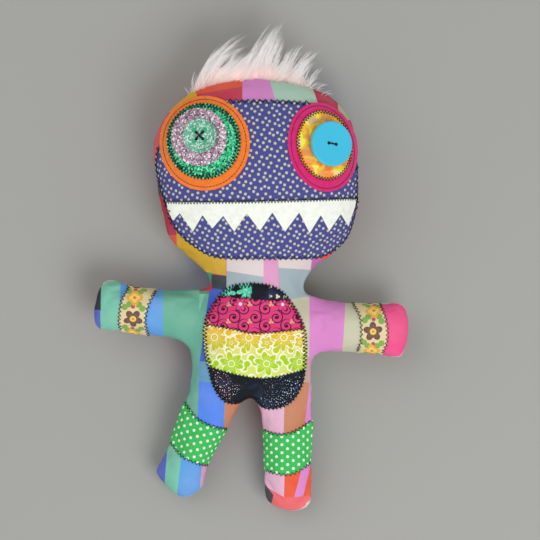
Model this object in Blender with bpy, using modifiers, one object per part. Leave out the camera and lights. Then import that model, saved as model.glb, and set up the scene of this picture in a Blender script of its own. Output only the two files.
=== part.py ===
"""A stuffed cloth monster doll, lying on its back with its face up.

Metres, +Z up. The head points to +Y and the feet to -Y. The origin is on the
flat patch of the torso's back, where the doll lies on a table.
"""

from math import acos, cos, pi, radians, sin

import bmesh
import bpy
from mathutils import Matrix, Vector
from mathutils.bvhtree import BVHTree

# Cloth, felt and the gaps between touching layers
GAP = 0.0003
CLOTH = 0.0012
COTTON = 0.0004
FELT = 0.0012
GLITTER = 0.0008
SATIN = 0.0008
SEAM_GAP = 0.0010
REST_CUT = 0.0005
OVERRUN = 0.02
TABLE_SIDE = 0.8

# Torso
TORSO_X = -0.0022
TORSO_WIDTH = 0.0920
TORSO_DEPTH = 0.0540
TORSO_BOTTOM_Y = -0.0480
TORSO_MID = TORSO_DEPTH / 2 - REST_CUT
TORSO_SIDES = 10

# Head, whose neck end rolls in the hollow at the top of the torso
HEAD_X = 0.0011
HEAD_WIDTH = 0.1530
HEAD_DEPTH = 0.0720
HEAD_TOP_Y = 0.1987
NECK_Y = 0.0570
NECK_RADIUS = 0.0170
NECK_RISE = 0.0030
HEAD_SIDES = 10

# Arms, whose inner ends roll round the sides of the torso
SHOULDER_RADIUS = 0.0245
ARM_DEPTH = 0.0330
ARM_SIDES = 8
ARM_RISE = radians(3.0)
LEFT_ARM_WIDTH = 0.0385
LEFT_SHOULDER_Y = 0.0213
LEFT_HAND_X = -0.1215
LEFT_ARM_TURN = radians(84.4)
RIGHT_ARM_WIDTH = 0.0410
RIGHT_SHOULDER_Y = 0.0171
RIGHT_HAND_X = 0.1143
RIGHT_ARM_TURN = radians(-93.8)

# Legs, whose upper ends roll round the bottom of the torso
HIP_RADIUS = 0.0216
LEG_DEPTH = 0.0350
LEG_SIDES = 8
LEFT_HIP_X = -0.0215
LEFT_LEG_WIDTH = 0.0415
LEFT_LEG_LENGTH = 0.0975
LEFT_LEG_TURN = radians(155.0)
RIGHT_HIP_X = 0.0235
RIGHT_LEG_WIDTH = 0.0395
RIGHT_LEG_LENGTH = 0.1000
RIGHT_LEG_TURN = radians(180.8)

# Face patch and teeth
FACE_X = 0.0015
FACE_WIDTH = 0.1460
FACE_TOP_Y = 0.1830
FACE_BOTTOM_Y = 0.0650
FACE_CORNER = 0.0400
MOUTH_X = 0.0035
MOUTH_Y = 0.1090
TOOTH_STRIP_WIDTH = 0.1420
TOOTH_GUM_DEPTH = 0.0110
TOOTH_DEPTH = 0.0115
TOOTH_COUNT = 9

# Eyes
LEFT_EYE_X = -0.0378
LEFT_EYE_Y = 0.1513
LEFT_FELT_WIDTH = 0.0681
LEFT_FELT_HEIGHT = 0.0708
GREEN_DISC_X = -0.0393
GREEN_DISC_Y = 0.1528
GREEN_DISC_DIAMETER = 0.0570
LILAC_DISC_X = -0.0418
LILAC_DISC_Y = 0.1559
LILAC_DISC_DIAMETER = 0.0429
RIGHT_EYE_X = 0.0500
RIGHT_EYE_Y = 0.1485
RIGHT_EYE_TURN = radians(14.0)
RIGHT_FELT_WIDTH = 0.0515
RIGHT_FELT_HEIGHT = 0.0675
SATIN_X = 0.0515
SATIN_Y = 0.1497
SATIN_WIDTH = 0.0415
SATIN_HEIGHT = 0.0522

# Buttons, with their rims, holes and thread
BUTTON_RIM = 0.0024
BUTTON_DISH = 0.0008
BUTTON_EDGE = 0.0007
LEFT_BUTTON_X = -0.0382
LEFT_BUTTON_Y = 0.1570
LEFT_BUTTON_DIAMETER = 0.0256
LEFT_BUTTON_HEIGHT = 0.0034
LEFT_HOLE_SPACING = 0.0048
LEFT_HOLE_RADIUS = 0.0013
RIGHT_BUTTON_X = 0.0530
RIGHT_BUTTON_Y = 0.1511
RIGHT_BUTTON_DIAMETER = 0.0335
RIGHT_BUTTON_HEIGHT = 0.0040
RIGHT_HOLE_SPACING = 0.0062
RIGHT_HOLE_RADIUS = 0.0013
RIGHT_THREAD_TURN = radians(-14.0)
THREAD_RADIUS = 0.0006

# Belly patch, in four bands with a narrow seam between them
BELLY_X = 0.0
BELLY_WIDTH = 0.0770
BELLY_TOP_Y = 0.0468
BELLY_BOTTOM_Y = -0.0465
BELLY_ROUNDNESS = 2.6
BAND_SEAM = 0.0004

# Ribbons round the arms and dotted bands round the legs, out from the joints
RIBBON_WIDTH = 0.0260
LEFT_RIBBON_START = 0.0510
RIGHT_RIBBON_START = 0.0542
LEG_BAND_WIDTH = 0.0305
LEFT_LEG_BAND_START = 0.0335
RIGHT_LEG_BAND_START = 0.0385

# Hair
HAIR_X = -0.0040
HAIR_WIDTH = 0.0790
HAIR_THICKNESS = 0.0180
HAIR_MOUND = 0.0250
HAIR_SINK = 0.0100
HAIR_HEIGHT = 0.0476
TUFT_RADIUS = 0.0110
TUFT_TIP_RADIUS = 0.0008

# Stations of a form: place along it, width and depth against the form's own,
# and how far the centre lies to one side against the width
HEAD_SHARES = (
    (0.225, 0.85, 0.76, 0.006),
    (0.360, 0.97, 0.93, 0.006),
    (0.560, 1.02, 1.02, -0.003),
    (0.750, 0.97, 0.94, -0.003),
    (0.890, 0.82, 0.69, 0.004),
    (0.970, 0.52, 0.40, 0.004),
)
TORSO_SHARES = (
    (0.025, 0.92, 0.45, -0.020),
    (0.100, 1.00, 0.70, -0.016),
    (0.230, 1.00, 0.84, -0.005),
    (0.460, 1.01, 1.05, -0.001),
    (0.690, 1.01, 0.90, 0.002),
    (0.830, 0.95, 0.54, 0.020),
    (0.940, 0.74, 0.46, 0.030),
)
ARM_SHARES = (
    (0.060, 0.94, 0.66, 0.000),
    (0.260, 0.99, 0.79, 0.000),
    (0.500, 0.99, 0.97, 0.000),
    (0.750, 1.04, 1.04, 0.000),
    (0.945, 0.95, 0.78, 0.000),
)
LEG_SHARES = (
    (0.060, 1.10, 0.76, 0.000),
    (0.240, 1.10, 0.84, 0.000),
    (0.500, 1.00, 0.98, 0.000),
    (0.770, 1.02, 1.04, 0.000),
    (0.945, 0.82, 0.76, 0.000),
)

# The neck's stations, whose depth is against the neck's own thickness
NECK_SHARES = (
    (0.020, 0.43, 0.572, 0.000),
    (0.075, 0.46, 0.953, 0.000),
    (0.135, 0.55, 1.101, 0.004),
)

# The belly bands' edges, down from the top of the patch, and how far each sags
BAND_EDGE_SHARES = (0.000, 0.120, 0.345, 0.675, 1.000)
BAND_SAG_SHARES = (0.000, 0.020, 0.050, 0.080, 0.000)
BAND_NAMES = ("top", "pink", "lime", "black")

# Where the cloth under a button is measured, out from the button's middle
SEAT_SHARES = (0.33, 0.66, 1.00)

# Each tuft of hair: its root and its tip across the head, and its height
TUFT_SHARES = (
    (-0.130, -0.104, 0.774),
    (0.120, 0.350, 1.000),
    (0.300, 0.660, 0.580),
)

ORANGE_CLOTH = (0.72, 0.16, 0.08)
MINT_CLOTH = (0.42, 0.70, 0.58)
NAVY_CLOTH = (0.06, 0.06, 0.20)
CREAM_CLOTH = (0.82, 0.76, 0.60)
GREEN_CLOTH = (0.14, 0.42, 0.28)
BLUE_CLOTH = (0.10, 0.16, 0.56)
PINK_CLOTH = (0.76, 0.10, 0.34)
ORCHID_CLOTH = (0.62, 0.24, 0.50)
LIME_CLOTH = (0.62, 0.78, 0.12)
BLACK_CLOTH = (0.03, 0.03, 0.05)
ORANGE_FELT = (0.90, 0.26, 0.06)
MAGENTA_FELT = (0.74, 0.05, 0.30)
WHITE_FELT = (0.86, 0.84, 0.78)
GREEN_GLITTER = (0.12, 0.42, 0.20)
LILAC_GLITTER = (0.66, 0.42, 0.62)
YELLOW_SATIN = (0.90, 0.58, 0.08)
MINT_PLASTIC = (0.30, 0.66, 0.58)
BLUE_PLASTIC = (0.05, 0.42, 0.66)
BLACK_THREAD = (0.02, 0.02, 0.02)
WHITE_PILE = (0.88, 0.85, 0.80)
WHITE_FILL = (0.90, 0.90, 0.88)

CLOTH_ROUGHNESS = 0.9
FELT_ROUGHNESS = 1.0
SATIN_ROUGHNESS = 0.35
GLITTER_ROUGHNESS = 0.4
PLASTIC_ROUGHNESS = 0.25

SMOOTH_LIMIT = radians(40.0)
OUTLINE_STEPS = 28
CORNER_STEPS = 5
BAND_STEPS = 6
BUTTON_STEPS = 28
HOLE_STEPS = 12
TUFT_STEPS = 10
MOUND_SIDES = 16
MOUND_RINGS = 10
THREAD_STEPS = 8
CUTTER_STEPS = 48
HALVINGS = 30
SEAT_STEPS = 16
MERGE = 0.0001
STEEPEST_TILT = radians(30.0)


# Scene, materials and objects


def clear_scene():
    for obj in list(bpy.data.objects):
        bpy.data.objects.remove(obj, do_unlink=True)


def add_collection(name):
    collection = bpy.data.collections.new(name)
    bpy.context.scene.collection.children.link(collection)
    return collection


def make_material(name, colour, roughness):
    material = bpy.data.materials.new(name)
    material.use_nodes = True
    shader = material.node_tree.nodes["Principled BSDF"]
    shader.inputs["Base Color"].default_value = (*colour, 1)
    shader.inputs["Roughness"].default_value = roughness
    shader.inputs["Metallic"].default_value = 0
    material.diffuse_color = (*colour, 1)
    return material


def link_mesh(name, shape, parent, collection):
    """An object in its parent's own space from a bmesh, which is freed."""
    mesh = bpy.data.meshes.new(name)
    shape.to_mesh(mesh)
    shape.free()
    obj = bpy.data.objects.new(name, mesh)
    collection.objects.link(obj)
    obj.parent = parent
    return obj


def add_part(name, shape, parent, colour, roughness=CLOTH_ROUGHNESS):
    obj = link_mesh(name, shape, parent, DOLL)
    obj.data.shade_smooth()
    obj.data.set_sharp_from_angle(angle=SMOOTH_LIMIT)
    obj.data.materials.append(make_material(name, colour, roughness))
    return obj


def add_cutter(name, shape, parent):
    bmesh.ops.recalc_face_normals(shape, faces=shape.faces)
    obj = link_mesh(name, shape, parent, CUTTERS)
    obj.hide_render = True
    obj.display_type = "WIRE"
    return obj


def boolean(obj, cutter, operation="DIFFERENCE"):
    modifier = obj.modifiers.new(cutter.name, "BOOLEAN")
    modifier.operation = operation
    modifier.solver = "EXACT"
    modifier.object = cutter


def add_frame(name, location, turned=Matrix()):
    """An empty that carries one moving piece, or one button, in its own space."""
    empty = bpy.data.objects.new(name, None)
    DOLL.objects.link(empty)
    empty.matrix_world = Matrix.Translation(location) @ turned
    return empty


def cylinder(radius, length, steps, direction="Z", radius_end=None):
    """A closed cylinder or cone about the origin, centred on it."""
    shape = bmesh.new()
    bmesh.ops.create_cone(
        shape,
        cap_ends=True,
        segments=steps,
        radius1=radius,
        radius2=radius if radius_end is None else radius_end,
        depth=length,
    )
    turns = {"X": Matrix.Rotation(pi / 2, 4, "Y"), "Y": Matrix.Rotation(pi / 2, 4, "X")}
    bmesh.ops.transform(shape, matrix=turns.get(direction, Matrix()), verts=shape.verts)
    return shape


# Stuffed forms


def stuffed_surface(shares, start, length, width, depth, sides):
    """A sphere whose rings are moved to the stations, smoothed and drawn to size."""
    cage = bmesh.new()
    stations = [(0, 0, 0, shares[0][3]), *shares, (1, 0, 0, shares[-1][3])]
    rings = len(shares) + 1
    bmesh.ops.create_uvsphere(cage, u_segments=sides, v_segments=rings, radius=1)
    fullness = 1 / cos(pi / sides)
    for vertex in cage.verts:
        ring = round(acos(max(-1, min(1, vertex.co.z))) / pi * rings)
        along, wide, deep, shift = stations[ring]
        side = Vector((vertex.co.x, vertex.co.y)).normalized() * fullness / 2
        vertex.co = (
            width * (shift + wide * side.x),
            start + length * along,
            depth * deep * side.y,
        )
    bmesh.ops.recalc_face_normals(cage, faces=cage.faces)
    form = link_mesh("form", cage, None, CUTTERS)
    soft = form.modifiers.new("Soft", "SUBSURF")
    soft.levels = 1
    soft.render_levels = 1
    graph = bpy.context.evaluated_depsgraph_get()
    surface = bpy.data.meshes.new_from_object(form.evaluated_get(graph))
    bpy.data.objects.remove(form)
    points = [vertex.co for vertex in surface.vertices]
    wide, near, far, deep = (
        max(point.x for point in points) - min(point.x for point in points),
        min(point.y for point in points),
        max(point.y for point in points),
        2 * max(point.z for point in points),
    )
    for point in points:
        point.x *= width / wide
        point.y = start + length * (point.y - near) / (far - near)
        point.z *= depth / deep
    return surface


def lowest(surface, height, tilt):
    """How low a form reaches when its joint is at that height and it is tilted."""
    return min(height + v.co.y * sin(tilt) + v.co.z * cos(tilt) for v in surface.vertices)


def resting_tilt(surface, height):
    """The tilt at which a form just reaches the table, less the cut of its flat."""
    low, high = -STEEPEST_TILT, STEEPEST_TILT
    for _ in range(HALVINGS):
        middle = (low + high) / 2
        if lowest(surface, height, middle) > -REST_CUT:
            high = middle
        else:
            low = middle
    return (low + high) / 2


def half_of(surface, side):
    """The front (side 1) or the back (side -1) of a form, open at its seam."""
    half = bmesh.new()
    half.from_mesh(surface)
    bmesh.ops.bisect_plane(
        half,
        geom=half.verts[:] + half.edges[:] + half.faces[:],
        plane_co=(0, 0, side * SEAM_GAP / 2),
        plane_no=(0, 0, side),
        clear_inner=True,
    )
    return half


def add_layer(name, half, parent, colour, inner, outer, roughness=CLOTH_ROUGHNESS):
    """A sheet that follows a form, between two heights over the form's surface."""
    obj = add_part(name, half, parent, colour, roughness)
    sheet = obj.modifiers.new("Sheet", "SOLIDIFY")
    sheet.thickness = outer - inner
    sheet.offset = (inner + outer) / (outer - inner)
    sheet.use_even_offset = True
    return obj


def add_stuffed_piece(name, surface, parent, colours):
    """Front panel, back panel and stuffing of one stretch of the doll."""
    front = add_layer(f"{name}_front_cloth", half_of(surface, 1), parent, colours[0], -CLOTH, 0)
    back = add_layer(f"{name}_back_cloth", half_of(surface, -1), parent, colours[1], -CLOTH, 0)
    fill = bmesh.new()
    fill.from_mesh(surface)
    stuffing = add_part(f"{name}_stuffing", fill, parent, WHITE_FILL)
    shrink = stuffing.modifiers.new("Inside", "DISPLACE")
    shrink.mid_level = 0
    shrink.strength = -(CLOTH + GAP)
    return front, back, stuffing


def cut_flat(obj):
    """Cuts the flat on which a back panel rests."""
    boolean(obj, TABLE)


# Outlines of what is sewn on


def add_prism(name, points, depth, parent):
    """A cutter over the whole depth of a form, from the points of an outline."""
    shape = bmesh.new()
    face = shape.faces.new([shape.verts.new((x, y, -depth)) for x, y in points])
    lifted = bmesh.ops.extrude_face_region(shape, geom=[face])["geom"]
    raised = [item for item in lifted if isinstance(item, bmesh.types.BMVert)]
    bmesh.ops.translate(shape, vec=(0, 0, 2 * depth), verts=raised)
    return add_cutter(name, shape, parent)


def ellipse_points(x, y, width, height, turn=0):
    points = []
    for step in range(OUTLINE_STEPS):
        angle = 2 * pi * step / OUTLINE_STEPS
        across, along = width / 2 * cos(angle), height / 2 * sin(angle)
        points.append(
            (
                x + across * cos(turn) - along * sin(turn),
                y + across * sin(turn) + along * cos(turn),
            )
        )
    return points


def rounded_box_points(x, bottom, top, width, corner):
    points = []
    middles = (
        (x + width / 2 - corner, top - corner, 0),
        (x - width / 2 + corner, top - corner, pi / 2),
        (x - width / 2 + corner, bottom + corner, pi),
        (x + width / 2 - corner, bottom + corner, 3 * pi / 2),
    )
    for middle_x, middle_y, start in middles:
        for step in range(CORNER_STEPS + 1):
            angle = start + pi / 2 * step / CORNER_STEPS
            points.append((middle_x + corner * cos(angle), middle_y + corner * sin(angle)))
    return points


def tooth_points(x, y):
    """The felt strip under the mouth line, straight above and toothed below."""
    pitch = TOOTH_STRIP_WIDTH / TOOTH_COUNT
    left = x - TOOTH_STRIP_WIDTH / 2
    points = [(left + TOOTH_STRIP_WIDTH, y), (left, y), (left, y - TOOTH_GUM_DEPTH)]
    for tooth in range(TOOTH_COUNT):
        points.append((left + pitch * (tooth + 1 / 2), y - TOOTH_GUM_DEPTH - TOOTH_DEPTH))
        points.append((left + pitch * (tooth + 1), y - TOOTH_GUM_DEPTH))
    return points


def belly_half_width(share):
    """Half the patch's width at a share of its height, as a full oval."""
    return BELLY_WIDTH / 2 * max(0, 1 - abs(2 * share - 1) ** BELLY_ROUNDNESS) ** (1 / BELLY_ROUNDNESS)


def belly_edge_points(x, share, sag, offset):
    """Points from left to right along one edge of a band."""
    height = BELLY_TOP_Y - BELLY_BOTTOM_Y
    half = belly_half_width(share)
    points = []
    for step in range(BAND_STEPS + 1):
        across = 2 * step / BAND_STEPS - 1
        drop = share + sag * (1 - across**2)
        points.append((x + half * across, BELLY_TOP_Y - height * drop + offset))
    return points


def belly_band_points(x, number):
    """One band of the belly patch, between two sagging edges and the oval."""
    top, bottom = BAND_EDGE_SHARES[number : number + 2]
    top_sag, bottom_sag = BAND_SAG_SHARES[number : number + 2]
    height = BELLY_TOP_Y - BELLY_BOTTOM_Y
    upper = belly_edge_points(x, top, top_sag, -BAND_SEAM)
    lower = belly_edge_points(x, bottom, bottom_sag, BAND_SEAM)
    if top == 0:
        upper = [upper[0]]
    if bottom == 1:
        lower = [lower[0]]
    right, left = [], []
    for step in range(1, BAND_STEPS):
        share = top + (bottom - top) * step / BAND_STEPS
        half = belly_half_width(share)
        right.append((x + half, BELLY_TOP_Y - height * share))
        left.append((x - half, BELLY_TOP_Y - height * share))
    return upper + right + lower[::-1] + left[::-1]


def strip_points(start, width, reach):
    """A strip across a limb, from one seam to the other."""
    return [(-reach, start), (reach, start), (reach, start + width), (-reach, start + width)]


# Head


def head_surface():
    length = HEAD_TOP_Y - NECK_Y + NECK_RADIUS
    slimness = 2 * NECK_RADIUS / HEAD_DEPTH
    neck = [(along, wide, deep * slimness, shift) for along, wide, deep, shift in NECK_SHARES]
    return stuffed_surface(
        (*neck, *HEAD_SHARES), -NECK_RADIUS, length, HEAD_WIDTH, HEAD_DEPTH, HEAD_SIDES
    )


def add_face(surface, head):
    """The face patch, the teeth and the cloth of both eyes, layer on layer."""
    side, base = -HEAD_X, -NECK_Y
    patch_outer = GAP + COTTON
    first = patch_outer + GAP
    second = first + FELT + GAP
    third = second + GLITTER + GAP
    layers = (
        ("face_patch", NAVY_CLOTH, GAP, patch_outer, CLOTH_ROUGHNESS,
         rounded_box_points(FACE_X + side, FACE_BOTTOM_Y + base, FACE_TOP_Y + base,
                            FACE_WIDTH, FACE_CORNER)),
        ("tooth_strip", WHITE_FELT, first, first + FELT, FELT_ROUGHNESS,
         tooth_points(MOUTH_X + side, MOUTH_Y + base)),
        ("left_eye_felt", ORANGE_FELT, first, first + FELT, FELT_ROUGHNESS,
         ellipse_points(LEFT_EYE_X + side, LEFT_EYE_Y + base, LEFT_FELT_WIDTH, LEFT_FELT_HEIGHT)),
        ("left_eye_green_disc", GREEN_GLITTER, second, second + GLITTER, GLITTER_ROUGHNESS,
         ellipse_points(GREEN_DISC_X + side, GREEN_DISC_Y + base,
                        GREEN_DISC_DIAMETER, GREEN_DISC_DIAMETER)),
        ("left_eye_lilac_disc", LILAC_GLITTER, third, third + GLITTER, GLITTER_ROUGHNESS,
         ellipse_points(LILAC_DISC_X + side, LILAC_DISC_Y + base,
                        LILAC_DISC_DIAMETER, LILAC_DISC_DIAMETER)),
        ("right_eye_felt", MAGENTA_FELT, first, first + FELT, FELT_ROUGHNESS,
         ellipse_points(RIGHT_EYE_X + side, RIGHT_EYE_Y + base, RIGHT_FELT_WIDTH,
                        RIGHT_FELT_HEIGHT, RIGHT_EYE_TURN)),
        ("right_eye_satin", YELLOW_SATIN, second, second + SATIN, SATIN_ROUGHNESS,
         ellipse_points(SATIN_X + side, SATIN_Y + base, SATIN_WIDTH, SATIN_HEIGHT,
                        RIGHT_EYE_TURN)),
    )
    for name, colour, inner, outer, roughness, points in layers:
        sheet = add_layer(name, half_of(surface, 1), head, colour, inner, outer, roughness)
        boolean(sheet, add_prism(f"{name}_outline", points, HEAD_DEPTH, head), "INTERSECT")
    return third + GLITTER, second + SATIN


def button_frame(name, surface, head, x, y, radius, layers):
    """A frame on the face whose Z stands square to the cloth under a button."""
    tree = BVHTree.FromPolygons(
        [v.co for v in surface.vertices], [p.vertices for p in surface.polygons]
    )

    def point_at(across, along):
        start = Vector((x - HEAD_X + across, y - NECK_Y + along, HEAD_DEPTH))
        return tree.ray_cast(start, Vector((0, 0, -1)))[0]

    left, right = point_at(-radius, 0), point_at(radius, 0)
    low, high = point_at(0, -radius), point_at(0, radius)
    across = (right - left).normalized()
    normal = across.cross(high - low).normalized()
    middle = (left + right + low + high) / 4
    under = [point_at(0, 0)]
    for step in range(SEAT_STEPS):
        angle = 2 * pi * step / SEAT_STEPS
        for share in SEAT_SHARES:
            reach = radius * share
            under.append(point_at(reach * cos(angle), reach * sin(angle)))
    bulge = max((point - middle).dot(normal) for point in under)
    turned = Matrix((across, normal.cross(across), normal)).transposed().to_4x4()
    frame = add_frame(name, (0, 0, 0))
    frame.parent = head
    frame.matrix_world = (
        head.matrix_world
        @ Matrix.Translation(middle + normal * (bulge + layers + GAP))
        @ turned
    )
    return frame


def add_button(name, frame, colour, diameter, height, holes, hole_radius):
    """A turned button with a raised rim and a dished middle, sewn through its holes."""
    radius = diameter / 2
    dish = height - BUTTON_DISH
    profile = (
        (0, dish),
        (radius - BUTTON_RIM, dish),
        (radius - BUTTON_RIM / 2, height),
        (radius - BUTTON_EDGE, height),
        (radius, height - BUTTON_EDGE),
        (radius, BUTTON_EDGE),
        (radius - BUTTON_EDGE, 0),
        (0, 0),
    )
    shape = bmesh.new()
    points = [shape.verts.new((across, 0, up)) for across, up in profile]
    for first, second in zip(points, points[1:]):
        shape.edges.new((first, second))
    button = add_part(name, shape, frame, colour, PLASTIC_ROUGHNESS)
    turning = button.modifiers.new("Turned", "SCREW")
    turning.steps = BUTTON_STEPS
    turning.render_steps = BUTTON_STEPS
    turning.use_merge_vertices = True
    turning.merge_threshold = MERGE
    for number, (x, y) in enumerate(holes):
        shape = cylinder(hole_radius, 2 * OVERRUN, HOLE_STEPS)
        bmesh.ops.translate(shape, vec=(x, y, 0), verts=shape.verts)
        boolean(button, add_cutter(f"{name}_hole_{number}", shape, frame))
    return dish


def thread_stitch(start, end, top):
    """A thread bar across a button's face, with an end down through each hole."""
    level = top + GAP + THREAD_RADIUS
    run = Vector((end[0] - start[0], end[1] - start[1]))
    bar = cylinder(THREAD_RADIUS, run.length + 2 * THREAD_RADIUS, THREAD_STEPS, "X")
    centre = ((start[0] + end[0]) / 2, (start[1] + end[1]) / 2, level)
    turned = Matrix.Rotation(run.angle_signed(Vector((1, 0))), 4, "Z")
    bmesh.ops.transform(bar, matrix=Matrix.Translation(centre) @ turned, verts=bar.verts)
    ends = []
    for x, y in (start, end):
        leg = cylinder(THREAD_RADIUS, level, THREAD_STEPS)
        bmesh.ops.translate(leg, vec=(x, y, level / 2), verts=leg.verts)
        ends.append(leg)
    return [bar, *ends]


def add_thread(name, frame, pairs, top):
    shapes = []
    for start, end in pairs:
        shapes.extend(thread_stitch(start, end, top))
    thread = add_part(name, shapes[0], frame, BLACK_THREAD)
    for number, shape in enumerate(shapes[1:]):
        boolean(thread, add_cutter(f"{name}_run_{number}", shape, frame), "UNION")


def add_buttons(surface, head, left_layers, right_layers):
    half = LEFT_HOLE_SPACING / 2
    corners = [(-half, -half), (half, half), (-half, half), (half, -half)]
    frame = button_frame("left_button_frame", surface, head, LEFT_BUTTON_X, LEFT_BUTTON_Y,
                         LEFT_BUTTON_DIAMETER / 2, left_layers)
    top = add_button("left_eye_button", frame, MINT_PLASTIC, LEFT_BUTTON_DIAMETER,
                     LEFT_BUTTON_HEIGHT, corners, LEFT_HOLE_RADIUS)
    add_thread("left_eye_thread", frame, [corners[:2], corners[2:]], top)

    half = RIGHT_HOLE_SPACING / 2
    ends = [(side * half * cos(RIGHT_THREAD_TURN), side * half * sin(RIGHT_THREAD_TURN))
            for side in (-1, 1)]
    frame = button_frame("right_button_frame", surface, head, RIGHT_BUTTON_X, RIGHT_BUTTON_Y,
                         RIGHT_BUTTON_DIAMETER / 2, right_layers)
    top = add_button("right_eye_button", frame, BLUE_PLASTIC, RIGHT_BUTTON_DIAMETER,
                     RIGHT_BUTTON_HEIGHT, ends, RIGHT_HOLE_RADIUS)
    add_thread("right_eye_thread", frame, [ends], top)


def add_hair(surface, head):
    """Long pile out of the seam at the top of the head: a mound and three tufts."""
    side, top = HAIR_X - HEAD_X, HEAD_TOP_Y - NECK_Y
    mound = bmesh.new()
    bmesh.ops.create_uvsphere(mound, u_segments=MOUND_SIDES, v_segments=MOUND_RINGS, radius=1)
    size = Vector((HAIR_WIDTH / 2, HAIR_MOUND + HAIR_SINK, HAIR_THICKNESS / 2))
    bmesh.ops.scale(mound, vec=size, verts=mound.verts)
    bmesh.ops.translate(mound, vec=(side, top - HAIR_SINK, 0), verts=mound.verts)
    hair = add_part("hair_tuft", mound, head, WHITE_PILE)
    for number, (root, tip, height) in enumerate(TUFT_SHARES):
        start = Vector((side + root * HAIR_WIDTH, top, 0))
        end = Vector((side + tip * HAIR_WIDTH, top + height * HAIR_HEIGHT, 0))
        run = end - start
        tuft = cylinder(TUFT_RADIUS, run.length, TUFT_STEPS, radius_end=TUFT_TIP_RADIUS)
        aimed = run.to_track_quat("Z", "Y").to_matrix().to_4x4()
        place = Matrix.Translation((start + end) / 2) @ aimed
        bmesh.ops.transform(tuft, matrix=place, verts=tuft.verts)
        boolean(hair, add_cutter(f"hair_tuft_{number}", tuft, head), "UNION")
    scalp = bmesh.new()
    scalp.from_mesh(surface)
    seat = add_cutter("hair_seat", scalp, head)
    grow = seat.modifiers.new("Gap", "DISPLACE")
    grow.mid_level = 0
    grow.strength = GAP
    boolean(hair, seat)


def add_head():
    surface = head_surface()
    height = TORSO_MID + NECK_RISE
    tilted = Matrix.Rotation(resting_tilt(surface, height), 4, "X")
    head = add_frame("neck_joint", (HEAD_X, NECK_Y, height), tilted)
    pieces = add_stuffed_piece("head", surface, head, (ORANGE_CLOTH, MINT_CLOTH))
    cut_flat(pieces[1])
    left_layers, right_layers = add_face(surface, head)
    add_buttons(surface, head, left_layers, right_layers)
    add_hair(surface, head)


# Torso and belly patch


def add_torso():
    length = NECK_Y - TORSO_BOTTOM_Y
    torso = add_frame("torso_frame", (TORSO_X, 0, TORSO_MID))
    surface = stuffed_surface(
        TORSO_SHARES, TORSO_BOTTOM_Y, length, TORSO_WIDTH, TORSO_DEPTH, TORSO_SIDES
    )
    pieces = add_stuffed_piece("torso", surface, torso, (GREEN_CLOTH, BLUE_CLOTH))
    cut_flat(pieces[1])
    shape = cylinder(NECK_RADIUS + GAP, TORSO_WIDTH + 2 * OVERRUN, CUTTER_STEPS, "X")
    bmesh.ops.translate(shape, vec=(0, NECK_Y, NECK_RISE), verts=shape.verts)
    hollow = add_cutter("neck_hollow", shape, torso)
    for piece in pieces:
        boolean(piece, hollow)
    colours = (MINT_CLOTH, PINK_CLOTH, LIME_CLOTH, BLACK_CLOTH)
    for number, (name, colour) in enumerate(zip(BAND_NAMES, colours)):
        band = add_layer(f"belly_{name}_band", half_of(surface, 1), torso, colour,
                         GAP, GAP + COTTON)
        points = belly_band_points(BELLY_X - TORSO_X, number)
        outline = add_prism(f"belly_{name}_outline", points, TORSO_DEPTH, torso)
        boolean(band, outline, "INTERSECT")
        boolean(band, hollow)


# Arms and legs


def add_limb(name, shares, place, turn, tilt, sizes, sides, colours, hollow, strip):
    """One stuffed limb, hollowed where it rolls on the torso, with its strip."""
    length, width, depth = sizes
    surface = stuffed_surface(shares, 0, length, width, depth, sides)
    if tilt is None:
        tilt = resting_tilt(surface, place[2])
    turned = Matrix.Rotation(turn, 4, "Z") @ Matrix.Rotation(tilt, 4, "X")
    limb = add_frame(f"{name}_joint", place, turned)
    pieces = add_stuffed_piece(name, surface, limb, colours)
    radius, direction = hollow
    shape = cylinder(radius, 2 * (width + OVERRUN), CUTTER_STEPS, direction)
    bmesh.ops.translate(shape, vec=place, verts=shape.verts)
    cutter = add_cutter(f"{name}_hollow", shape, None)
    for piece in pieces:
        boolean(piece, cutter)
    strip_name, colour, start, strip_width = strip
    band = add_layer(f"{name}_{strip_name}", half_of(surface, 1), limb, colour,
                     GAP, GAP + COTTON)
    outline = add_prism(f"{name}_{strip_name}_outline",
                        strip_points(start, strip_width, width), depth, limb)
    boolean(band, outline, "INTERSECT")
    return pieces


def add_arms():
    reach = TORSO_WIDTH / 2 - SHOULDER_RADIUS
    hollow = (SHOULDER_RADIUS + GAP, "Y")
    arms = (
        ("left_arm", -1, LEFT_SHOULDER_Y, LEFT_HAND_X, LEFT_ARM_TURN, LEFT_ARM_WIDTH,
         (GREEN_CLOTH, ORCHID_CLOTH), LEFT_RIBBON_START),
        ("right_arm", 1, RIGHT_SHOULDER_Y, RIGHT_HAND_X, RIGHT_ARM_TURN, RIGHT_ARM_WIDTH,
         (ORCHID_CLOTH, BLUE_CLOTH), RIGHT_RIBBON_START),
    )
    for name, side, y, hand, turn, width, colours, start in arms:
        shoulder = TORSO_X + side * reach
        length = abs(hand - shoulder)
        add_limb(name, ARM_SHARES, (shoulder, y, TORSO_MID), turn, ARM_RISE,
                 (length, width, ARM_DEPTH), ARM_SIDES, colours, hollow,
                 ("ribbon", CREAM_CLOTH, start, RIBBON_WIDTH))


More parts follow.
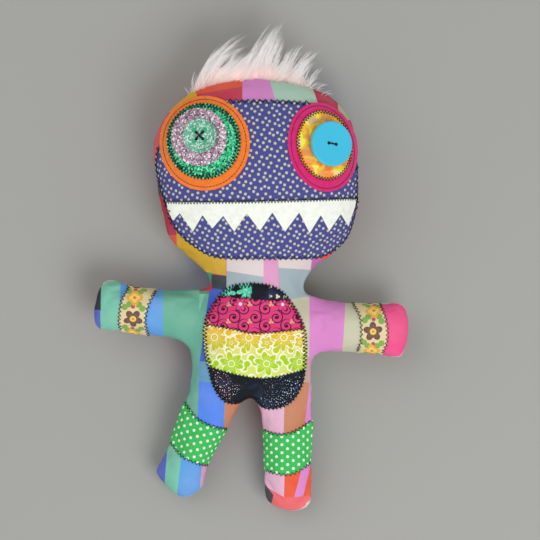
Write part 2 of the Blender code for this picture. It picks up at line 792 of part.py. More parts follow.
def add_legs():
    """The patch on the belly reaches the legs, so their hollows clear it too."""
    hollow = (HIP_RADIUS + GAP + COTTON + GAP, "X")
    legs = (
        ("left_leg", LEFT_HIP_X, LEFT_LEG_TURN, LEFT_LEG_LENGTH, LEFT_LEG_WIDTH,
         (BLUE_CLOTH, GREEN_CLOTH), LEFT_LEG_BAND_START),
        ("right_leg", RIGHT_HIP_X, RIGHT_LEG_TURN, RIGHT_LEG_LENGTH, RIGHT_LEG_WIDTH,
         (ORANGE_CLOTH, MINT_CLOTH), RIGHT_LEG_BAND_START),
    )
    for name, hip, turn, length, width, colours, start in legs:
        place = (hip, TORSO_BOTTOM_Y + HIP_RADIUS, TORSO_MID)
        pieces = add_limb(name, LEG_SHARES, place, turn, None, (length, width, LEG_DEPTH),
                          LEG_SIDES, colours, hollow,
                          ("dotted_band", GREEN_CLOTH, start, LEG_BAND_WIDTH))
        cut_flat(pieces[1])


def table_cutter():
    """All that lies under the table's top, for the flats on which the doll rests."""
    shape = bmesh.new()
    bmesh.ops.create_cube(shape, size=1)
    size = Vector((TABLE_SIDE, TABLE_SIDE, OVERRUN))
    bmesh.ops.scale(shape, vec=size, verts=shape.verts)
    bmesh.ops.translate(shape, vec=(0, 0, -OVERRUN / 2), verts=shape.verts)
    return add_cutter("table", shape, None)


clear_scene()
DOLL = add_collection("rag_doll")
CUTTERS = add_collection("cutters")
TABLE = table_cutter()
add_torso()
add_head()
add_arms()
add_legs()
bpy.context.view_layer.update()
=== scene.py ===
"""Looks of a stuffed cloth monster doll that lies on its back on a pale floor.

Metres, +Z up, head towards +Y. Places that were measured on the photograph are
written in its pixels, and spot() turns them into places on the doll.
"""

from math import ceil, cos, pi, radians, sin

import bmesh
import bpy
import numpy as np
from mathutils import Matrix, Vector
from mathutils.bvhtree import BVHTree
from mathutils.geometry import delaunay_2d_cdt


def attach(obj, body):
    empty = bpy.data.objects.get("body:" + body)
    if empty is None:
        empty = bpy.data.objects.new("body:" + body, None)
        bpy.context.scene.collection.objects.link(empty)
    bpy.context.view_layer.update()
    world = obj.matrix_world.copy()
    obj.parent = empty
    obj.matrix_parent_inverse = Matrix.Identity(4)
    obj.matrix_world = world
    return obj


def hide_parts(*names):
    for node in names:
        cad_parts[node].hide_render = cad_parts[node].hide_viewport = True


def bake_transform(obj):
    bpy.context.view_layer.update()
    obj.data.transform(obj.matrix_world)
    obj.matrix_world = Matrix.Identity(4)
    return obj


# The photograph: metres to a pixel on the seam's level, and the doll's origin in it
PIXEL = 0.00075
ORIGIN_PIXEL = (255.0, 345.0)
PICTURE = 540
SEAM_LEVEL = 0.0280
CAMERA_HEIGHT = 2.40

# Levels over the table: body, print and hair, rays from above, and the cutters' two ends
BODY_LEVEL = 0.0265
PRINT_LEVEL = 0.045
HAIR_LEVEL = 0.041
OVER_ALL = 0.3
PRISM = (-0.02, 0.14)

# Stuffed body
OUTLINE_STEP = 0.0025
VOXEL = 0.0030
RIM_INSETS = (0.0003, 0.0010, 0.0022, 0.0040, 0.0065)
CORE_STEP = 0.0040
SEAM_HALF = 0.0012
SEAM_GROOVE = 0.0006
SOFT_FLOOR = 0.0006
# How much larger the cloth is than its form, for how long it is blown up, and how deep it may pucker
SLACK = 0.018
CLOTH_FRAMES = 20
PUCKER = 0.0028
# How steeply the seam rises in each limb
SEAM_SLOPES = {"head": 0.105, "left_arm": 0.06, "right_arm": 0.06, "left_leg": -0.165, "right_leg": -0.165}

# Layers that are sewn on, and their threads
GAP = 0.0003
COTTON = 0.0005
FELT = 0.0012
DISC = 0.0009
WEAVE_PITCH = 0.0005
WEAVE_DEPTH = 0.00005
BUTTON_RIM = 0.0024
STITCH_LIFT = 0.00030
# A zigzag's pitch, width and radius
SEAM_STITCH = (0.0029, 0.0017, 0.00028)

# The doll's outline, clockwise from the top of the head
OUTLINE = (
    (258, 80), (290, 83.5), (317, 92), (333, 101), (345, 113), (352, 127), (356.5, 148), (357.5, 172),
    (357.5, 199), (354, 221), (345, 240), (333, 254), (315, 267), (306, 279), (303, 287),
    (306, 293), (323, 299), (355, 303), (378, 303.2), (400.5, 302.6), (405.8, 308), (408, 322),
    (407.6, 334), (405, 347.5), (399, 357.8), (378, 354), (355, 352.5), (331, 351.5), (318, 353),
    (312.5, 360), (311.5, 380), (311.7, 420), (311.5, 460), (311.6, 490), (311, 503), (304, 510.5),
    (292, 512), (280, 509.5), (270.5, 505.5), (265.5, 498), (264.6, 485), (264.8, 465), (263.6, 440),
    (261.5, 418), (257.5, 404), (250, 398), (242, 402), (235, 414), (224, 435), (212.5, 456),
    (206.5, 470), (203.5, 484), (199.5, 491), (191, 497), (182, 499), (172, 493.5), (163, 484),
    (155.2, 473), (159, 464), (168, 448), (173, 434), (180, 413), (187.5, 394), (190.5, 375),
    (191, 357), (186, 345), (173, 338.5), (150, 335.5), (121.5, 331.5), (100, 329.6), (95.3, 323),
    (94.2, 311), (96.8, 296.5), (101.6, 284), (109.5, 278.4),
    (118, 281), (132, 286), (156, 289), (185, 289.3),
    (204, 288.8), (210.5, 286.5), (209.5, 280), (204, 271), (193.6, 261.5), (178, 248), (168.6, 236),
    (164.5, 221), (159, 197), (156, 172), (154.3, 160), (154.8, 144), (160, 129), (170, 113.5),
    (183, 101), (199, 90.5), (226, 83),
)

# Where each limb starts to bend: two pixels on the line that it starts from, and how far it reaches
LIMBS = {
    "head": ((208, 285), (307, 287), 0.0330),
    "left_arm": ((187, 350), (208, 285), 0.0260),
    "right_arm": ((306, 290), (314, 357), 0.0260),
    "left_leg": ((250.5, 400.5), (187, 373), 0.0300),
    "right_leg": ((313, 385), (250.5, 400.5), 0.0300),
}

# Each limb's own line, in pixels, and the middles that the other cloths are measured from
LIMB_AXES = {
    "left_arm": ((200, 312), (100, 304)), "right_arm": ((310, 326), (402, 330)),
    "left_leg": ((221, 398), (180, 488)), "right_leg": ((287, 400), (288, 500)),
}
MIDDLES = {"head": (256, 175), "torso": (255, 335)}

# Cloths and their prints
PALETTE = {
    "coral": (217, 98, 100), "brown": (78, 66, 66), "crimson": (192, 50, 78), "gold": (224, 178, 50),
    "orange_red": (238, 92, 60), "rose": (206, 68, 90), "orchid": (224, 140, 208), "mint": (178, 212, 190),
    "pale_green": (178, 190, 150), "slate": (56, 64, 72), "blush": (228, 215, 214),
    "grey_blue": (166, 183, 190), "soft_pink": (228, 160, 202), "violet": (196, 112, 184),
    "green": (70, 152, 110), "teal": (108, 180, 156), "royal": (62, 98, 206), "steel": (105, 162, 200),
    "cornflower": (84, 138, 242), "light_blue": (102, 165, 232), "cream": (206, 204, 176),
    "beige": (198, 170, 148), "hot_pink": (246, 78, 142), "sea": (128, 204, 178), "navy": (30, 40, 62),
    "blue_violet": (92, 106, 206), "terracotta": (202, 132, 96), "pale_pink": (234, 182, 210),
    "foot_coral": (243, 104, 108),
}
SKIN_BASE = {
    "torso": "teal", "head": "rose", "left_arm": "sea", "right_arm": "orchid", "left_leg": "light_blue",
    "right_leg": "orange_red",
}
# The colour-block print: a tint and its block's corners, later ones over earlier ones
BLOCKS = (
    ("coral", (148, 118), (170, 118), (170, 165), (148, 165)),
    ("brown", (148, 165), (170, 165), (170, 195), (148, 195)),
    ("crimson", (148, 195), (180, 195), (180, 237), (148, 237)),
    ("orange_red", (155, 235), (177, 235), (177, 252), (155, 252)),
    ("gold", (168, 84), (197, 84), (197, 112), (168, 112)),
    ("rose", (197, 87), (243, 87), (243, 106), (197, 106)),
    ("orange_red", (196, 68), (243, 68), (243, 87.5), (196, 94.7)),
    ("orchid", (242.5, 68), (266, 68), (277, 106), (242.5, 106)),
    ("mint", (265.6, 68), (308, 68), (319, 106), (276.8, 106)),
    ("crimson", (308, 74), (340, 84), (344, 112), (319, 108)),
    ("pale_green", (338, 100), (354, 104), (354, 128), (338, 120)),
    ("rose", (348, 120), (364, 120), (364, 205), (348, 205)),
    ("orange_red", (306, 205), (364, 205), (364, 261), (306, 261)),
    ("gold", (176.5, 225), (226, 225), (226, 275.5), (176.5, 268)),
    ("green", (194, 270), (212, 273), (212, 294), (194, 294)),
    ("slate", (211, 274.5), (226.5, 276), (226.5, 295), (211, 293.5)),
    ("blush", (226.5, 250), (264, 250), (264, 277), (226.5, 271)),
    ("grey_blue", (226.5, 271), (264, 277), (264, 320), (226.5, 320)),
    ("soft_pink", (263.5, 250), (277.5, 250), (281, 320), (263.5, 320)),
    ("blush", (277.6, 250), (312, 250), (312, 270), (278.5, 268)),
    ("violet", (312, 259), (336, 259), (326, 278), (310, 276)),
    ("grey_blue", (278.5, 268), (318, 270.5), (318, 302), (280.5, 302)),
    ("cream", (280, 301), (311.5, 296), (314, 358), (280, 358)),
    ("beige", (290, 357), (314, 357), (314, 384), (290, 381)),
    ("teal", (178, 344), (199.5, 344), (198, 420), (172, 420)),
    ("royal", (209.5, 288), (240, 292), (240, 362), (199.5, 362)),
    ("steel", (199, 361.5), (240, 361.5), (240, 385), (198.5, 382)),
    ("cornflower", (198.5, 381.5), (226, 385), (224, 440), (196.5, 440)),
    ("terracotta", (225.5, 385), (262, 385), (262, 440), (223, 440)),
    ("pale_pink", (256, 400), (286, 400), (284, 445), (256, 445)),
    ("terracotta", (285, 380), (309.5, 383), (303, 445), (283.5, 445)),
    ("orchid", (311.6, 290), (320, 290), (320, 385), (309.7, 385)),
    ("orchid", (309.7, 385), (320, 385), (316, 445), (302.5, 445)),
    ("crimson", (198, 283), (211.5, 283), (211.5, 291), (198, 291.5)),
    ("teal", (161, 274), (199, 274), (199, 345), (161, 345)),
    ("light_blue", (120, 274), (163, 274), (163, 345), (120, 345)),
    ("navy", (90, 278), (100.5, 278), (100.5, 311), (90, 311)),
    ("blue_violet", (90, 310), (100, 310), (100, 332), (90, 332)),
    ("orchid", (309.5, 290), (350, 294), (350, 362), (309.5, 362)),
    ("cream", (346, 296), (384, 296), (384, 362), (342, 362)),
    ("hot_pink", (378, 296), (415, 296), (415, 364), (380, 364)),
    ("blue_violet", (145, 430), (172, 430), (166, 505), (145, 505)),
    ("sea", (168, 430), (184, 430), (178, 505), (162, 505)),
    ("light_blue", (182, 450), (214, 450), (208, 505), (175, 505)),
    ("soft_pink", (203, 450), (216, 450), (213, 494), (199, 494)),
    ("pale_pink", (262, 462), (287, 462), (285, 502), (262, 502)),
    ("orange_red", (285, 462), (316, 462), (316, 500), (284, 500)),
    ("orchid", (304, 462), (312, 462), (303, 500), (294, 500)),
    ("foot_coral", (262, 486.5), (284, 498.7), (284, 518), (258, 518)),
    ("foot_coral", (283, 498.7), (316, 498.2), (316, 518), (283, 518)),
    ("slate", (258, 478), (265.5, 486.5), (273.5, 497), (271, 508), (258, 506)),
)
# Where a pale edge of the back panel shows along the seam
PALE_EDGES = (
    ((96, 272), (140, 276), (140, 292), (96, 288)),
    ((396, 298), (414, 298), (414, 362), (392, 362)),
    ((178, 488), (206, 480), (206, 505), (178, 505)),
    ((280, 506), (316, 500), (316, 518), (280, 518)),
)
BACK_TONES = (
    "gold", "orange_red", "teal", "cornflower", "orchid", "crimson", "mint", "royal", "light_blue",
    "coral", "blush",
)
NAVY = (78, 81, 147)
# Where the left button's plastic is greener, each way from its middle
GREEN_SPOT = 0.0041

# The pieces, with outlines in the photograph's pixels
FACE = (
    (233, 100.6), (270, 100.3), (306, 102.4), (330, 106), (345, 119), (353, 138), (357, 160), (358, 178),
    (357.2, 202), (353.6, 222), (347, 238.5), (333.5, 251.5), (317, 258.3), (290, 259), (257, 259),
    (227, 258.7), (210, 256), (196.5, 248.5), (181.7, 237), (172.3, 224.2), (164.8, 203.3),
    (158.6, 183.3), (155.4, 163.3), (160, 142), (172, 122), (192, 107), (212, 101.8),
)
TEETH = (
    (166.2, 202), (190, 202.2), (220, 202.2), (246.7, 202), (275, 201.2), (306.7, 200.4), (335, 199.6),
    (356.6, 198.6), (355, 206.7), (348.3, 226.4), (340.8, 214.2), (329.2, 231), (320.8, 215.2),
    (309.6, 233.3), (299.2, 212.6), (285, 231.8), (272.4, 212.7), (260, 230.8), (246.7, 213.4),
    (234.2, 231.7), (223.2, 216), (212.4, 228.5), (202.5, 215.2), (193, 231.6), (179.8, 213.4),
    (173, 220.6), (168.2, 211.7),
)
MOUTH = ((164.5, 202.2), (190, 201.9), (246.7, 201.5), (306.7, 200), (357.4, 198.2))
BELLY = (
    (203.6, 331), (203.9, 343), (205, 354), (208.4, 368.4), (211.9, 382.5), (218.4, 395.6),
    (226.3, 402.4), (236.3, 404), (242.5, 401.6), (247.5, 398.6), (252.5, 398.4), (256.6, 402.2),
    (261, 407), (272.5, 409), (286.3, 405.2), (296.3, 396.3), (303.1, 382.5), (305.4, 370),
    (306.5, 357.5), (306.3, 340), (304.6, 328.8), (299.6, 315.3), (292.2, 303), (284.5, 293.8),
    (275, 287.3), (261.3, 284.2), (247.5, 283.6), (236.3, 285), (227.5, 288.6), (219.5, 295.4),
    (211.8, 306), (206.3, 317),
)
BELLY_SPLIT = (250.5, 400)
# Each seam between the belly's bands, from left to right
BELLY_SEAMS = (
    ((195, 298), (211, 296.4), (224, 296.2), (242, 297.6), (267, 300), (286, 299.4), (296, 297), (315, 292)),
    ((195, 321), (206, 324.2), (234, 329.4), (250, 333), (267, 332.8), (300, 329.2), (315, 327)),
    ((195, 360), (208.6, 366.4), (234, 374.2), (257.5, 378), (275, 377.2), (305, 369.6), (315, 366)),
)
RIBBONS = {
    "left_arm": (
        ((128.5, 270), (128.2, 287.5), (122, 300), (119.6, 314), (119.4, 326), (123.2, 334), (124, 348)),
        ((156.5, 270), (156.2, 289), (149.6, 302), (145.8, 314), (145.2, 324), (149, 336), (150, 348)),
    ),
    "right_arm": (
        ((352, 290), (353.2, 304.5), (359.6, 316), (361.6, 330), (360.6, 343), (356.4, 354), (356, 366)),
        ((379, 290), (380.4, 304.5), (385.6, 319), (387.4, 332), (386.6, 343), (382.2, 354), (382, 366)),
    ),
}
RIBBON_MIDDLES = ((133, 319), (373, 331))
BANDS = {
    "left_leg": (
        ((176, 392), (185.6, 403), (196, 417.5), (210, 425.4), (227.5, 429.4), (240, 430)),
        ((158, 432), (171.6, 444), (181, 455.6), (195, 462.7), (207.8, 464.6), (220, 464)),
    ),
    "right_leg": (
        ((254, 425), (264, 430), (280, 434.5), (295, 431.3), (311, 420.8), (322, 414)),
        ((254, 465), (266, 470.4), (282.5, 474.7), (295, 473), (311, 462.8), (322, 456)),
    ),
}
# The eyes' discs: middle, half of each side, and turn
LEFT_FELT = (204.7, 143.3, 45.2, 47.4)
LEFT_GREEN = (203.6, 141.2, 36.8, 37.8)
LEFT_LILAC = (199.2, 137.2, 27.9, 28.9)
RIGHT_FELT = (322.6, 147.2, 34.2, 45.2, radians(-14))
RIGHT_SATIN = (324.6, 145.4, 27.0, 34.6, radians(-12))

# Hair: roots and the way to each lock's tip, in pixels, how many strands, and how far they spread
LOCKS = (
    ((199, 88), (200, 73), (212, 55), (240, 30), 150, 2.2),
    ((203, 86), (206, 70), (223, 51), (252, 35), 140, 2.6),
    ((208, 84), (214, 68), (231, 56), (258, 45), 130, 3.2),
    ((215, 83), (224, 70), (240, 61), (260, 53), 170, 3.4),
    ((225, 81), (232, 70), (244, 62), (256, 55), 190, 3.6),
    ((236, 80), (246, 66), (258, 52), (274, 27), 170, 3.0),
    ((246, 80), (254, 62), (264, 44), (281, 18), 190, 2.2),
    ((255, 80), (261, 60), (269, 39), (291, 12), 190, 1.8),
    ((262, 80), (267, 61), (275, 44), (285, 24), 160, 3.0),
    ((269, 80), (273, 64), (279, 54), (285, 38), 140, 3.4),
    ((276, 81), (279, 70), (283, 62), (288, 54), 120, 3.4),
    ((284, 83), (288, 70), (296, 57), (307, 45), 130, 3.0),
    ((291, 85), (295, 71), (303, 59), (320, 50), 130, 2.6),
    ((298, 87), (300, 76), (306, 68), (317, 62), 110, 3.4),
    ((305, 89), (309, 81), (314, 73), (322, 68), 50, 3.6),
    ((311, 91), (317, 85), (324, 84), (331, 89), 16, 3.0),
    ((317, 94), (323, 90), (329, 92), (336, 98), 10, 2.6),
    ((197, 91), (194, 84), (195, 76), (199, 68), 16, 2.0),
    ((193, 94), (190, 90), (187, 88), (185, 87), 8, 2.0),
)
RINGS = 5
WISPS = 6


def spot(across, down, level=SEAM_LEVEL):
    """The place at a height over the table that the photograph shows at a pixel."""
    nearer = (CAMERA_HEIGHT - level) / (CAMERA_HEIGHT - SEAM_LEVEL)
    middle = PICTURE / 2
    return (
        PIXEL * (middle - ORIGIN_PIXEL[0] + (across - middle) * nearer),
        PIXEL * (ORIGIN_PIXEL[1] - middle + (middle - down) * nearer),
    )


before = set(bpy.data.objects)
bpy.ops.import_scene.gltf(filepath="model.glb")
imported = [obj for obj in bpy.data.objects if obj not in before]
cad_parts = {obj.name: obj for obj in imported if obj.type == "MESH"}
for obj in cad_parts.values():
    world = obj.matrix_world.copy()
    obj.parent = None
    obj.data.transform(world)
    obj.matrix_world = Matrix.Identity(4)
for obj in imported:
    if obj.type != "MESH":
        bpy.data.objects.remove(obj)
bpy.context.view_layer.update()


# Shader maths and cloths


def colour(red, green, blue):
    """A colour as the eye reads it, 0 to 255, made linear for the shader."""
    shares = [part / 255 for part in (red, green, blue)]
    return (*[s / 12.92 if s <= 0.04045 else ((s + 0.055) / 1.055) ** 2.4 for s in shares], 1.0)


class Value:
    """A socket of a material, on which shader maths is written as Python."""

    def __init__(self, paint, socket):
        self.paint = paint
        self.socket = socket

    def maths(self, operation, *others):
        return self.paint.node("Math", {"operation": operation}, [self, *others])

    def after(self, operation, other):
        return self.paint.node("Math", {"operation": operation}, [other, self])

    def __add__(self, other):
        return self.maths("ADD", other)

    def __radd__(self, other):
        return self.after("ADD", other)

    def __sub__(self, other):
        return self.maths("SUBTRACT", other)

    def __rsub__(self, other):
        return self.after("SUBTRACT", other)

    def __mul__(self, other):
        return self.maths("MULTIPLY", other)

    def __rmul__(self, other):
        return self.after("MULTIPLY", other)

    def __truediv__(self, other):
        return self.maths("DIVIDE", other)

    def __rtruediv__(self, other):
        return self.after("DIVIDE", other)

    def __abs__(self):
        return self.maths("ABSOLUTE")


def set_stops(ramp, tones):
    """Even steps of tones on a colour ramp."""
    ramp.interpolation = "CONSTANT"
    for number, tone in enumerate(tones):
        place = number / len(tones)
        stop = ramp.elements[number] if number < 2 else ramp.elements.new(place)
        stop.position = place
        stop.color = colour(*tone)


class Paint:
    """A material with one Principled shader."""

    def __init__(self, name, roughness=0.85, **fixed):
        self.material = bpy.data.materials.new(name)
        self.material.use_nodes = True
        self.tree = self.material.node_tree
        self.shader = self.tree.nodes["Principled BSDF"]
        for label, value in {"Roughness": roughness, **fixed}.items():
            self.shader.inputs[label.replace("_", " ")].default_value = value

    def node(self, kind, settings=None, inputs=(), output=0):
        """A node of a type, with its settings made first, then its sockets."""
        made = self.tree.nodes.new("ShaderNode" + kind)
        for label, value in (settings or {}).items():
            if label == "stops":
                set_stops(made.color_ramp, value)
            else:
                setattr(made, label, value)
        named = inputs.items() if isinstance(inputs, dict) else enumerate(inputs)
        for label, value in named:
            if isinstance(value, Value):
                self.tree.links.new(value.socket, made.inputs[label])
            else:
                made.inputs[label].default_value = value
        return Value(self, made.outputs[output])

    def feed(self, label, value):
        """Links a value to the shader, or sets a constant on its own socket."""
        if isinstance(value, Value):
            self.tree.links.new(value.socket, self.shader.inputs[label])
        else:
            self.shader.inputs[label].default_value = value

    def vec(self, operation, inputs, output=0):
        return self.node("VectorMath", {"operation": operation}, inputs, output)

    def mix(self, first, second, share):
        """One tone into another: each a value, or red, green and blue from 0 to 255."""
        tones = [tone if isinstance(tone, Value) else colour(*tone) for tone in (first, second)]
        return self.node("Mix", {"data_type": "RGBA"}, {0: share, 6: tones[0], 7: tones[1]}, 2)

    def stain(self, base, tone, value, low, high, share=1):
        """Mixes a tone over the base as a value goes from one number to another."""
        amount = self.ramp(value, low, high)
        return self.mix(base, tone, amount if share == 1 else amount * share)

    def attribute(self, name, output="Vector"):
        return self.node("Attribute", {"attribute_name": name}, output=output)

    def axes(self, vector):
        sockets = self.node("SeparateXYZ", inputs=[vector]).socket.node.outputs
        return [Value(self, sockets[number]) for number in range(3)]

    def noise(self, vector, scale, detail=2.0, output=0):
        sockets = {"Vector": vector, "Scale": scale, "Detail": detail}
        return self.node("TexNoise", inputs=sockets, output=output)

    def cells(self, vector, scale, output, randomness=1.0, dimensions="3D", distance="EUCLIDEAN"):
        settings = {"voronoi_dimensions": dimensions, "distance": distance}
        sockets = {"Vector": vector, "Scale": scale, "Randomness": randomness}
        return self.node("TexVoronoi", settings, sockets, output)

    def steps(self, value, tones):
        """Even steps of tones for a value from 0 to 1."""
        return self.node("ValToRGB", {"stops": tones}, [value])

    def ramp(self, value, low, high):
        """From 0 at one value to 1 at another, smoothly."""
        settings = {"interpolation_type": "SMOOTHSTEP"}
        return self.node("MapRange", settings, {"Value": value, "From Min": low, "From Max": high})

    def bump(self, height, distance, strength=1.0):
        sockets = {"Height": height, "Distance": distance, "Strength": strength}
        self.feed("Normal", self.node("Bump", inputs=sockets))

    def askew(self, flake, amount):
        """Turns the surface aside at each flake."""
        normal = self.node("NewGeometry", output="Normal")
        turn = self.vec("MULTIPLY_ADD", [flake, (amount,) * 3, (-amount / 2,) * 3])
        self.feed("Normal", self.vec("NORMALIZE", [self.vec("ADD", [normal, turn])]))


class Cloth(Paint):
    """A woven cloth whose print lies in the cloth's own measure, in metres."""

    def __init__(self, name, roughness=0.9, **fixed):
        super().__init__(name, roughness, Specular_IOR_Level=0.25, **fixed)
        self.here = self.attribute("cloth")
        self.rest = self.attribute("rest")
        self.over = self.attribute("over_seam", 2)

    def length(self, vector):
        return self.vec("LENGTH", [vector], 1)

    def away(self, vector, x, y):
        """How far a place is from a point."""
        return self.vec("DISTANCE", [vector, (x, y, 0)], 1)

    def woven(self, base):
        """The material, with its print over threads that go over and under each other."""
        self.feed("Base Color", base)
        across, along, _ = self.axes(self.here)
        turn = 2 * pi / WEAVE_PITCH
        weave = (across * turn).maths("SINE") * (along * turn).maths("SINE")
        self.bump(self.noise(self.here, 160) * 3 + weave, WEAVE_DEPTH, 0.8)
        return self.material

    def block(self, base, corners, tone, edge=0.00022, share=1.0):
        """Mixes a tone over the base inside a block, given by its corners in the photograph."""
        places = print_places(corners)
        depth = None
        for first, last in zip(places, np.roll(places, -1, 0)):
            run = (last - first) / np.linalg.norm(last - first)
            inward = np.array([-run[1], run[0]])
            if inward @ (places.mean(0) - first) < 0:
                inward = -inward
            across = self.vec("DOT_PRODUCT", [self.rest, (*map(float, inward), 0)], 1)
            side = across - float(inward @ first)
            depth = side if depth is None else depth.maths("MINIMUM", side)
        return self.mix(base, tone, self.ramp(depth, -edge, edge) * share)

    def lattice(self, wide, high, x=0.0, y=0.0):
        """Places folded into one cell of a lattice, from the cell's middle."""
        moved = self.vec("ADD", [self.here, (x, y, 0)])
        return self.vec("WRAP", [moved, (wide / 2, high / 2, 1), (-wide / 2, -high / 2, -1)])

    def blossom(self, vector, size, petals, waist=0.5, turn=0.0, x=0, y=0):
        """Below 1 inside a blossom's petals, which narrow at its middle."""
        across, along, _ = self.axes(self.vec("SUBTRACT", [vector, (x, y, 0)]))
        angle = along.maths("ARCTAN2", across) * (petals / 2) + turn
        reach = abs(angle.maths("COSINE")) * (1 - waist) + waist
        return self.away(vector, x, y) / (reach * size)

    def line(self, value, middle, half, soft):
        """1 where a value is this near to another."""
        return self.ramp(abs(value - middle), half + soft, half - soft)


def print_places(corners):
    """A block's corners, as the photograph shows them at the level of the print."""
    return np.array([spot(*corner, PRINT_LEVEL) for corner in corners])


def touches(corners, low, high, margin):
    """Whether a block lies over a stretch of the skin."""
    places = print_places(corners)
    return (places.max(0) > low - margin).all() and (places.min(0) < high + margin).all()


def skin_cloth(name, low, high):
    """The colour-block cotton of one stretch: its own blocks in front, and a loose print behind."""
    paint = Cloth(f"{name}_print")
    base = PALETTE[SKIN_BASE[name]]
    for label, *corners in BLOCKS:
        if touches(corners, low, high, 0.002):
            base = paint.block(base, corners, PALETTE[label])
    number = paint.cells(paint.rest, 26, "Color", 0.8, "2D", "CHEBYCHEV")
    back = paint.steps(paint.axes(number)[0], [PALETTE[label] for label in BACK_TONES])
    base = paint.stain(back, base, paint.over, -0.0002, 0.0002)
    for corners in PALE_EDGES:
        if touches(corners, low, high, 0):
            pale = paint.line(paint.over, 0.0014, 0.0020, 0.0004) * 0.8
            base = paint.block(base, corners, (232, 230, 228), 0.002, pale)
    base = paint.stain(base, (196, 186, 180), abs(paint.over), 0.0007, 0.0003, 0.5)
    faded = paint.noise(paint.rest, 45, 3)
    return paint.woven(paint.mix(base, (236, 232, 228), (faded - 0.35) * 0.22))


def jittered_cloth(name):
    """Navy with cream dots in jittered rows, yellowish at their hearts."""
    paint = Cloth(name)
    spacing, radius, randomness = 0.0043, 0.00104, 0.40
    base = NAVY
    for tone, reach, soft, share in (
        ((210, 208, 186), radius, 0.00022, 1),
        ((196, 190, 120), radius * 0.45, 0.0003, 0.6),
    ):
        turned = {"Vector": paint.here, "Angle": 0.55}
        rows = paint.node("VectorRotate", {"rotation_type": "Z_AXIS"}, turned)
        gap = paint.cells(rows, 1 / spacing, "Distance", randomness, "2D")
        base = paint.stain(base, tone, gap, (reach + soft) / spacing, (reach - soft) / spacing, share)
    return paint.woven(base)


def rowed_cloth(name):
    """Green with small pale dots in offset rows."""
    paint = Cloth(name)
    wide, high, radius, soft = 0.0084, 0.0060, 0.00108, 0.0002
    first = paint.length(paint.lattice(wide, high))
    second = paint.length(paint.lattice(wide, high, wide / 2, high / 2))
    near = first.maths("MINIMUM", second)
    return paint.woven(paint.stain((66, 192, 94), (240, 253, 234), near, radius + soft, radius - soft))


def felt(name, tone, dark):
    """Pressed wool, a little cloudy and fuzzy."""
    paint = Cloth(name, 0.95, Sheen_Weight=0.25, Sheen_Roughness=0.6)
    paint.feed("Base Color", paint.stain(dark, tone, paint.noise(paint.rest, 260, 4), 0.25, 0.62))
    paint.bump(paint.noise(paint.rest, 900, 4), 0.0004, 0.7)
    return paint.material


def glitter(name, tones, size):
    """Coarse glitter: flakes that lie askew, in a few tones."""
    paint = Cloth(name, 0.35)
    flake = paint.cells(paint.rest, 1 / size, "Color")
    red, green, blue = paint.axes(flake)
    paint.feed("Base Color", paint.steps(red, tones))
    paint.feed("Metallic", paint.ramp(green, 0.45, 0.6) * 0.6)
    paint.feed("Roughness", blue * 0.4 + 0.18)
    paint.askew(flake, 0.9)
    return paint.material


def plain(name, tone, roughness, **fixed):
    """One even tone."""
    paint = Paint(name, roughness, **fixed)
    paint.feed("Base Color", colour(*tone))
    return paint.material


def scroll_cloth(name):
    """Hot pink with dark curls and blossoms, and a few pale touches."""
    paint = Cloth(name)
    base = paint.mix((238, 74, 136), (218, 56, 118), paint.noise(paint.rest, 120, 2))
    ink = None
    for x, y, hand in ((0.0, 0.0, 1), (0.0080, 0.0065, -1)):
        cell = paint.lattice(0.0160, 0.0130, x, y)
        across, along, _ = paint.axes(cell)
        angle = along.maths("ARCTAN2", across * hand) / (2 * pi)
        far = paint.length(cell)
        turn = (far * 320 - angle).maths("FRACT")
        curl = paint.line(turn, 0.5, 0.13, 0.05) * paint.ramp(far, 0.0056, 0.0052)
        for mark in (curl * paint.ramp(far, 0.0010, 0.0013), paint.ramp(far, 0.0013, 0.0010)):
            ink = mark if ink is None else ink.maths("MAXIMUM", mark)
    cell = paint.lattice(0.0320, 0.0260, 0.0110, 0.0030)
    petals = paint.blossom(cell, 0.0056, 6, 0.35)
    base = paint.stain(base, (236, 74, 138), petals, 1.0, 0.94)
    ink = (ink * paint.ramp(petals, 1.0, 1.1)).maths("MAXIMUM", paint.line(petals, 1.0, 0.09, 0.03))
    base = paint.mix(base, (44, 20, 40), ink)
    base = paint.stain(base, (252, 232, 232), paint.length(cell), 0.0015, 0.0011)
    pale = paint.blossom(paint.lattice(0.0160, 0.0130, 0.0040, 0.0032), 0.0024, 3, 0.3, 0.6)
    return paint.woven(paint.stain(base, (238, 172, 130), pale, 1.0, 0.8, 0.85))


